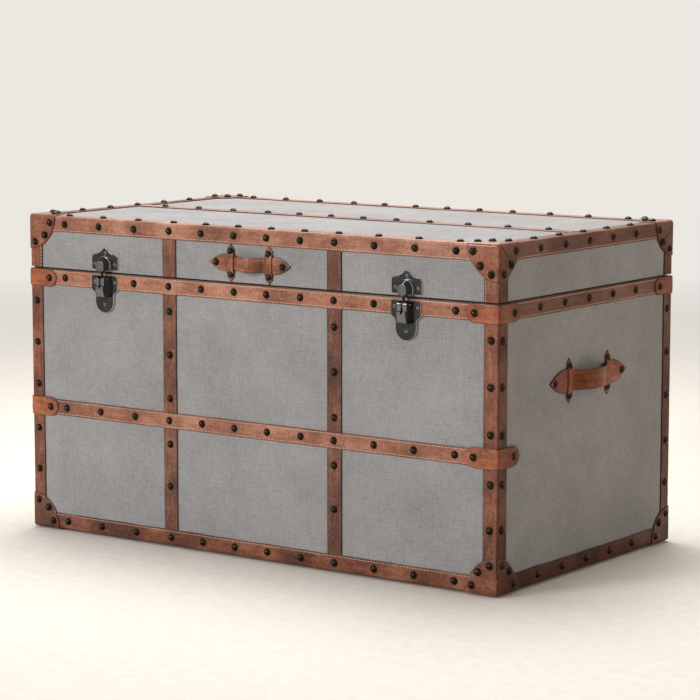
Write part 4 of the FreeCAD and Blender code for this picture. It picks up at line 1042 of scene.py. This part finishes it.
def bow_path(grip):
    """Flat to the keeper, a small arc away from the face, a crown arc, and the same back."""
    half, rise = grip["span"], grip["rise"]
    lean = 2 * math.atan(rise / half)
    crown = half / math.sin(lean) - FOOT_BEND
    tab = np.linspace(grip["tip"], half, 22)[:-1]
    foot = np.linspace(0, lean, 9)[:-1]
    arch = np.linspace(-lean, lean, 33)
    foot_s, foot_b = FOOT_BEND * np.sin(foot), FOOT_BEND - FOOT_BEND * np.cos(foot)
    s = np.concatenate([-tab, -half + foot_s, crown * np.sin(arch), half - foot_s[::-1], tab[::-1]])
    b = np.concatenate([0 * tab, foot_b, rise - crown + crown * np.cos(arch), foot_b[::-1], 0 * tab])
    return s, b


def handle_shell(face, grip, seed):
    """The strap of one handle: narrow in the hand, full at the keepers, with leaf-shaped tabs.

    A tab's edge is an arc that leaves the keeper square and meets its twin at the tip:
    half = tab - R + sqrt(R^2 - (s - leaf)^2), with R = ((tip - leaf)^2 + tab^2) / (2 tab).
    """
    s, b = bow_path(grip)
    tab, leaf = grip["tab"], grip["keeper"] + KEEPER_HALF
    curve = ((grip["tip"] - leaf) ** 2 + tab**2) / (2 * tab)
    past = np.clip(np.abs(s) - leaf, 0, grip["tip"] - leaf)
    full = np.interp(np.abs(s), [grip["span"], leaf], [grip["hand"], tab])
    half = np.maximum(full - curve + np.sqrt(curve**2 - past**2), POINT_HALF)
    spots = [(place, grip["z"]) for place in both(grip["nail"])]
    return strap_shell(face_map(face), s, b, grip["z"] - half, grip["z"] + half, thick=GRIP, nails=spots,
                       seed=seed, crown=0.5 * MM)


for name, face, grip, seed, hide, body in (
    ("left_handle", "left", END_GRIP, 60, "end_grip", "trunk_body"),
    ("right_handle", "right", END_GRIP, 61, "end_grip", "trunk_body"),
    ("lid_handle", "front", LID_GRIP, 62, "grip", "lid"),
):
    leather_piece(name + "_leather", [handle_shell(face, grip, seed)], hide, body, name)


# %% Keepers
KEEPER_RAMP = 4 * MM


def keeper_shells(face, grip, seed):
    """Two keepers across one handle: straps with pointed ends that climb over the handle's strap."""
    shells = []
    t = stations(-grip["long"], grip["long"], 1.5 * MM)
    share = np.clip((grip["tab"] + KEEPER_RAMP - np.abs(t)) / KEEPER_RAMP, 0, 1)
    widths = [KEEPER_HALF, KEEPER_HALF, POINT_HALF]
    half = np.interp(np.abs(t), [0, grip["shoulder"], grip["long"]], widths)
    for side in (-1, 1):
        x = side * grip["keeper"]
        spots = [(grip["z"] + pin, x) for pin in both(grip["pin"])]
        shells.append(strap_shell(turned_map(face_map(face)), grip["z"] + t, GRIP * smooth(share), x - half,
                                  x + half, nails=spots, seed=seed + side))
    return shells


end_keepers = keeper_shells("left", END_GRIP, 64) + keeper_shells("right", END_GRIP, 67)
leather_piece("end_keeper_leather", end_keepers, "end_grip", "trunk_body", "end_keepers")
leather_piece("lid_keeper_leather", keeper_shells("front", LID_GRIP, 70), "grip", "lid", "lid_keepers")

# %% [markdown]
# ## Felt on the rim
# A black felt strip lies on the front and end rims, and the lid rests on it. It shows as the dark line
# of the seam. It is a strap shell as well, because felt has soft edges like leather.

# %% Rim felt
FELT_THICK, FELT_HALF, FELT_X, FELT_BACK = 2.6 * MM, 4 * MM, 0.491, 0.265
FELT_END, FELT_OUTER, FELT_INNER = 0.495, -0.275, -0.267
rim_place = face_map("rim")
felt_shells = [strap_shell(rim_place, stations(-FELT_END, FELT_END), 0, FELT_OUTER, FELT_INNER,
                           thick=FELT_THICK, seed=80)]
felt_shells += [strap_shell(turned_map(rim_place), stations(FELT_INNER, FELT_BACK), 0, x - FELT_HALF,
                            x + FELT_HALF, thick=FELT_THICK, seed=81) for x in both(FELT_X)]
make_piece("rim_felt_strip", felt_shells, FELT, "trunk_body", ["rim_felt"])

# %% [markdown]
# ## Nails
# There are hundreds of nails, so each is one small dome of a few dozen faces, copied by arithmetic: every
# copy is its base points times a frame of three directions, plus a place. Linked copies would be lighter,
# but each would be an object of its own.

# %% Copies of a small mesh
SKIRT, CLOSED = 0.4 * MM, 0.02


def scatter(form, faces, places, first, second, third):
    """P = place + x * first + y * second + z * third for every copy at once."""
    axes = np.stack([first, second, third], 1)
    points = places[:, None, :] + np.einsum("vk,mkc->mvc", form, axes)
    count, size = points.shape[:2]
    numbered = faces[None] + (np.arange(count) * size)[:, None, None]
    return points.reshape(-1, 3), numbered.reshape(-1, 4), *plain_marks(count * size)


def unit(vectors):
    """Vectors at length one."""
    return vectors / np.maximum(np.linalg.norm(vectors, axis=1, keepdims=True), TINY)


def dome_form(radius, height, sides, rings):
    """Dome of revolution: z = ball cap of the given height, closed at the top, with a short skirt."""
    ball = (radius**2 + height**2) / (2 * height)
    lean = np.linspace(0.0, math.asin(min(radius / ball, 1.0)), rings + 1)
    r = np.concatenate([[CLOSED * radius], ball * np.sin(lean[1:]), [radius]])
    z = np.concatenate([[height], height - ball + ball * np.cos(lean[1:]), [-SKIRT]])
    turn = np.linspace(0, 2 * np.pi, sides, endpoint=False)
    x, y = r[:, None] * np.cos(turn), r[:, None] * np.sin(turn)
    form = np.stack([x, y, np.repeat(z[:, None], sides, 1)], -1)
    return form.reshape(-1, 3), quads(len(r), sides, True)[:, ::-1]


# %% Nail heads
NAIL_RADIUS, NAIL_HIGH, NAIL_SIDES, NAIL_RINGS = 7 * MM, 5 * MM, 14, 4
NAIL = dome_form(NAIL_RADIUS, NAIL_HIGH, NAIL_SIDES, NAIL_RINGS)
DRIVEN, ASTRAY, TIPPED = 0.35 * MM, 0.35 * MM, 0.035


def nail_shell(face, rows, seed):
    """Nail heads on one face, each off its place and tipped a little, as a hammer leaves it."""
    rows = np.array(rows)
    chance = np.random.default_rng(seed)
    s = rows[:, 0] + chance.normal(0, ASTRAY, len(rows))
    t = rows[:, 1] + chance.normal(0, ASTRAY, len(rows))
    spots = face_map(face)(s, t, rows[:, 2] - DRIVEN)
    _, along, up, out = (np.array(v, float) for v in FACES[face])
    tip = chance.normal(0, TIPPED, (len(rows), 2))
    third = unit(out + tip[:, :1] * along + tip[:, 1:] * up)
    first = unit(np.cross(np.broadcast_to(up, third.shape), third))
    return scatter(*NAIL, spots, first, np.cross(third, first), third)


MID_LOOP_NAIL = HALF_D - LOOP_NAIL
left_rows = NAILS["end"] + [(MID_LOOP_NAIL, MID_Z, DOUBLE)]
right_rows = NAILS["end"] + [(-MID_LOOP_NAIL, MID_Z, DOUBLE)]
for name, sets, body in (
    ("front_nail", [("front", NAILS["front"])], "trunk_body"),
    ("back_nail", [("back", NAILS["back"])], "trunk_body"),
    ("end_nail", [("left", left_rows), ("right", right_rows)], "trunk_body"),
    ("lid_front_nail", [("front", NAILS["lid_front"])], "lid"),
    ("lid_back_nail", [("back", NAILS["lid_back"])], "lid"),
    ("lid_end_nail", [("left", NAILS["lid_end"]), ("right", NAILS["lid_end"])], "lid"),
    ("lid_top_nail", [("top", NAILS["lid_top"])], "lid"),
):
    shells = [nail_shell(face, rows, 90 + index) for index, (face, rows) in enumerate(sets)]
    make_piece(name + "_heads", shells, BRONZE, body, [name + "s"], weld=False)

# %% [markdown]
# ## Stitches
# Pale thread runs along the edges of the bands, bindings, lid posts and top strap. A stripe in the
# leather's colour would do from far away, but close up each stitch stands out of its groove, so each is a
# short half-sunk thread, set at an even pitch along its path.

# %% One stitch and a row of them
STITCH_LONG, STITCH_WIDE, STITCH_HIGH, STITCH_SIDES = 2.1 * MM, 0.7 * MM, 0.5 * MM, 6
PITCH, AHEAD, ABOVE = 6 * MM, 0.5 * MM, 1 * MM


def stitch_form():
    """Short rounded thread: rings of radius r at places x along it, wider than high."""
    turn = np.linspace(0, 2 * np.pi, STITCH_SIDES, endpoint=False)
    x = np.array([-1.0, -0.8, 0.0, 0.8, 1.0])
    r = np.array([0.05, 0.75, 1.0, 0.75, 0.05])[:, None]
    along = np.repeat(x[:, None], STITCH_SIDES, 1) * STITCH_LONG
    form = np.stack([along, r * np.cos(turn) * STITCH_WIDE, r * np.sin(turn) * STITCH_HIGH], -1)
    return form.reshape(-1, 3), quads(len(x), STITCH_SIDES, True)


STITCH = stitch_form()
print("a stitch has", len(STITCH[1]), "faces")


def stitch_row(place, path, across):
    """Stitches at an even pitch along a path at one place across it, on top of the leather."""
    along, base = np.broadcast_arrays(np.asarray(path[0], float), np.asarray(path[1], float))
    way = np.concatenate([[0], np.cumsum(np.hypot(np.diff(along), np.diff(base)))])
    at = np.arange(PITCH / 2, way[-1], PITCH)

    def spot(step, lift):
        """Points a step further along the path and a lift above the leather."""
        s, b = np.interp(at + step, way, along), np.interp(at + step, way, base)
        return place(s, np.full_like(at, across), b + LEATHER + lift)

    here = spot(0, 0)
    first, third = unit(spot(AHEAD, 0) - here), unit(spot(0, ABOVE) - here)
    return scatter(*STITCH, here, first, np.cross(third, first), third)


# %% Rows of stitches
front = face_map("front")
body_rows, lid_rows = [], []
for across in (RIM_LOW + INSET, SEAM - INSET):
    body_rows.append(stitch_row(front, rim_path, across))
    body_rows.append(stitch_row(face_map("back"), long_path, across))
    body_rows += [stitch_row(face_map(face), short_path, across) for face in SHORT_FACES]
for across in (MID_LOW + INSET, MID_TOP - INSET):
    body_rows.append(stitch_row(front, mid_path, across))
for face, half in (("front", HALF_W), ("back", HALF_W), ("left", HALF_D), ("right", HALF_D)):
    place, path = face_map(face), (stations(-half, half), 0)
    lid_rows.append(stitch_row(place, path, BINDING_LOW + INSET))
    if face in LONG_FACES:
        body_rows.append(stitch_row(place, path, FOOT_TOP - INSET))
        lid_rows += [stitch_row(turned_map(place), (stations(LID_LOW, BINDING_LOW), 0), across)
                     for across in both(half - STRAP + INSET)]
lid_rows += [stitch_row(face_map("top"), top_path, across) for across in both(STRAP / 2 - INSET)]
make_piece("body_stitching", body_rows, THREAD, "trunk_body", weld=False)
make_piece("lid_stitching", lid_rows, THREAD, "lid", weld=False)

# %% [markdown]
# ## Cloth facts
# The body's cover is one strip round the case. The others cover a face and fold down at four sides.

def folded(half_x, half_y, deep):
    """Flat size and area of a cloth that covers a face and folds down its four sides."""
    flat = (2 * half_x + 2 * deep, 2 * half_y + 2 * deep)
    return flat, 4 * half_x * half_y + 4 * (half_x + half_y) * deep


lid_flat, lid_area = folded(END_CLOTH, FRONT_CLOTH, TOP_CLOTH - LID_LOW)
body_in_flat, body_in_area = folded(LINED_X, LINED_Y, SEAM - FLOOR_Z)
lid_in_flat, lid_in_area = folded(LINED_X, LINED_Y, CEILING_Z - LID_LOW)
print("cloth, square metres:", [round(area, 3) for area in (lid_area, body_in_area, lid_in_area)])

# %% [markdown]
# ## Floor
# A plain pale floor carries the shadow. Far from the trunk it goes over into the background's own colour,
# so that no horizon shows. Only rays that show the background see that, and light on the trunk stays as
# the lamps give it.

# %% Floor
PALE = (0.83, 0.80, 0.75)
FADE_FROM, FADE_TO = 1.0, 4.5
turn = np.linspace(0, 2 * np.pi, 65)
radius = np.array([0.0, 1.0, 3.0, 9.0, 30.0])[:, None]
floor_points = np.stack([radius * np.cos(turn), radius * np.sin(turn), 0 * radius * turn], -1)
floor_faces = quads(*floor_points.shape[:2], False)[:, ::-1]
floor_mesh = bpy.data.meshes.new("floor")
floor_mesh.from_pydata(floor_points.reshape(-1, 3).tolist(), [], floor_faces.tolist())
floor = bpy.data.objects.new("floor", floor_mesh)
bpy.context.scene.collection.objects.link(floor)
print("floor:", len(floor_mesh.polygons), "faces")


# %% Floor finish
def plainly_seen(tree):
    """1 for rays that show the background: camera, glossy and transmission rays."""
    path = node(tree, "ShaderNodeLightPath")
    seen = path.outputs["Is Camera Ray"]
    for label in ("Is Glossy Ray", "Is Transmission Ray"):
        seen = arithmetic(tree, "MAXIMUM", seen, path.outputs[label])
    return seen


def mix_shaders(tree, factor, first, second, target):
    """Blend two shaders into the tree's output."""
    links = [(0, factor), (1, first.outputs[0]), (2, second.outputs[0])]
    made = node(tree, "ShaderNodeMixShader", links)
    tree.links.new(made.outputs[0], tree.nodes[target].inputs["Surface"])


pale_floor, tree, shader = new_material("pale_floor", Roughness=0.9, Specular_IOR_Level=0.1)
grey = use_group(tree, MOTTLE, Scale=40.0, Dark=(0.70, 0.66, 0.60), Mid=(0.74, 0.70, 0.64),
                 Light=(0.78, 0.74, 0.68))
link_all(tree, shader, Base_Color=grey["Color"])
away = node(tree, "ShaderNodeVectorMath", [(0, own_place(tree))], operation="LENGTH").outputs["Value"]
fade = arithmetic(tree, "MULTIPLY", span(tree, away, FADE_FROM, FADE_TO), plainly_seen(tree))
glow = node(tree, "ShaderNodeEmission", Color=(*PALE, 1), Strength=1.0)
mix_shaders(tree, fade, shader, glow, "Material Output")
floor_mesh.materials.append(pale_floor)
print("floor fades from", FADE_FROM, "to", FADE_TO, "m")

# %% [markdown]
# ## Light
# A key lamp stands far off to the front left, small enough to put a clear spark on each nail. A second
# one hangs over the lid, a weak warm one brings up the right end, and the world fills the shade. More
# lamps would lift the shadows under the straps, which make them stand out.

# %% Lamps
NEARLY_UP = (0.0, 0.001, 1.0)


def standing(side, back, spot):
    """Matrix with X along side, Z along back and its place at spot."""
    matrix = np.eye(4)
    matrix[:3] = np.stack([side, np.cross(back, side), back, spot], 1)
    return Matrix(matrix.tolist())


def soft_lamp(name, spot, target, size, power, colour):
    """Square area lamp at a spot, facing a target."""
    lamp = bpy.data.lights.new(name, "AREA")
    lamp.size, lamp.energy, lamp.color = size, power, colour
    holder = bpy.data.objects.new(name, lamp)
    back = np.array(spot, float) - np.array(target, float)
    back /= np.linalg.norm(back)
    side = np.cross(NEARLY_UP, back)
    side /= np.linalg.norm(side)
    holder.matrix_world = standing(side, back, spot)
    bpy.context.scene.collection.objects.link(holder)
    print(f"lamp {name}: {power} W, {size} m")


soft_lamp("key", (-2.7, -6.45, 2.57), (0, 0, 0.3), 2.2, 315, (0.98, 0.99, 1.0))
soft_lamp("overhead", (-0.5, 0.6, 3.0), (0, 0, 0.5), 2.2, 132, (1.0, 0.98, 0.95))
soft_lamp("end_fill", (3.2, 0.6, 1.4), (0.5, 0, 0.3), 1.6, 16, (1.0, 0.82, 0.62))

# %% World
FILL_STRENGTH = 0.28
world = bpy.data.worlds.new("studio")
bpy.context.scene.world = world
world.use_nodes = True
sky = world.node_tree
fill = sky.nodes["Background"]
fill.inputs["Color"].default_value = (1.0, 0.98, 0.95, 1)
fill.inputs["Strength"].default_value = FILL_STRENGTH
backdrop = node(sky, "ShaderNodeBackground", Color=(*PALE, 1), Strength=1.0)
mix_shaders(sky, plainly_seen(sky), fill, backdrop, "World Output")
print("world fill:", FILL_STRENGTH)

# %% [markdown]
# ## Camera
# The camera looks from the photograph's own place: low, from the front right, with a long lens. Its
# place and its focal length in pixels were fitted to the trunk's edges.

# %% Camera
AZIMUTH, ELEVATION = math.radians(35.938), math.radians(7.630)
EYE = np.array([2.74957728, -3.78403383, 0.95973377])
FOCAL_PIXELS, IMAGE_PIXELS, SENSOR = 2647.5, 700, 36.0
level = math.cos(ELEVATION)
back_way = np.array([math.sin(AZIMUTH) * level, -math.cos(AZIMUTH) * level, math.sin(ELEVATION)])
right_way = np.array([math.cos(AZIMUTH), math.sin(AZIMUTH), 0.0])
lens = bpy.data.cameras.new("camera")
lens.sensor_width = SENSOR
lens.sensor_fit = "HORIZONTAL"
lens.lens = FOCAL_PIXELS / IMAGE_PIXELS * SENSOR
camera = bpy.data.objects.new("camera", lens)
camera.matrix_world = standing(right_way, back_way, EYE)
bpy.context.scene.collection.objects.link(camera)
bpy.context.scene.camera = camera
bpy.context.scene.view_settings.view_transform = "Standard"
print("lens:", round(lens.lens, 1), "mm")
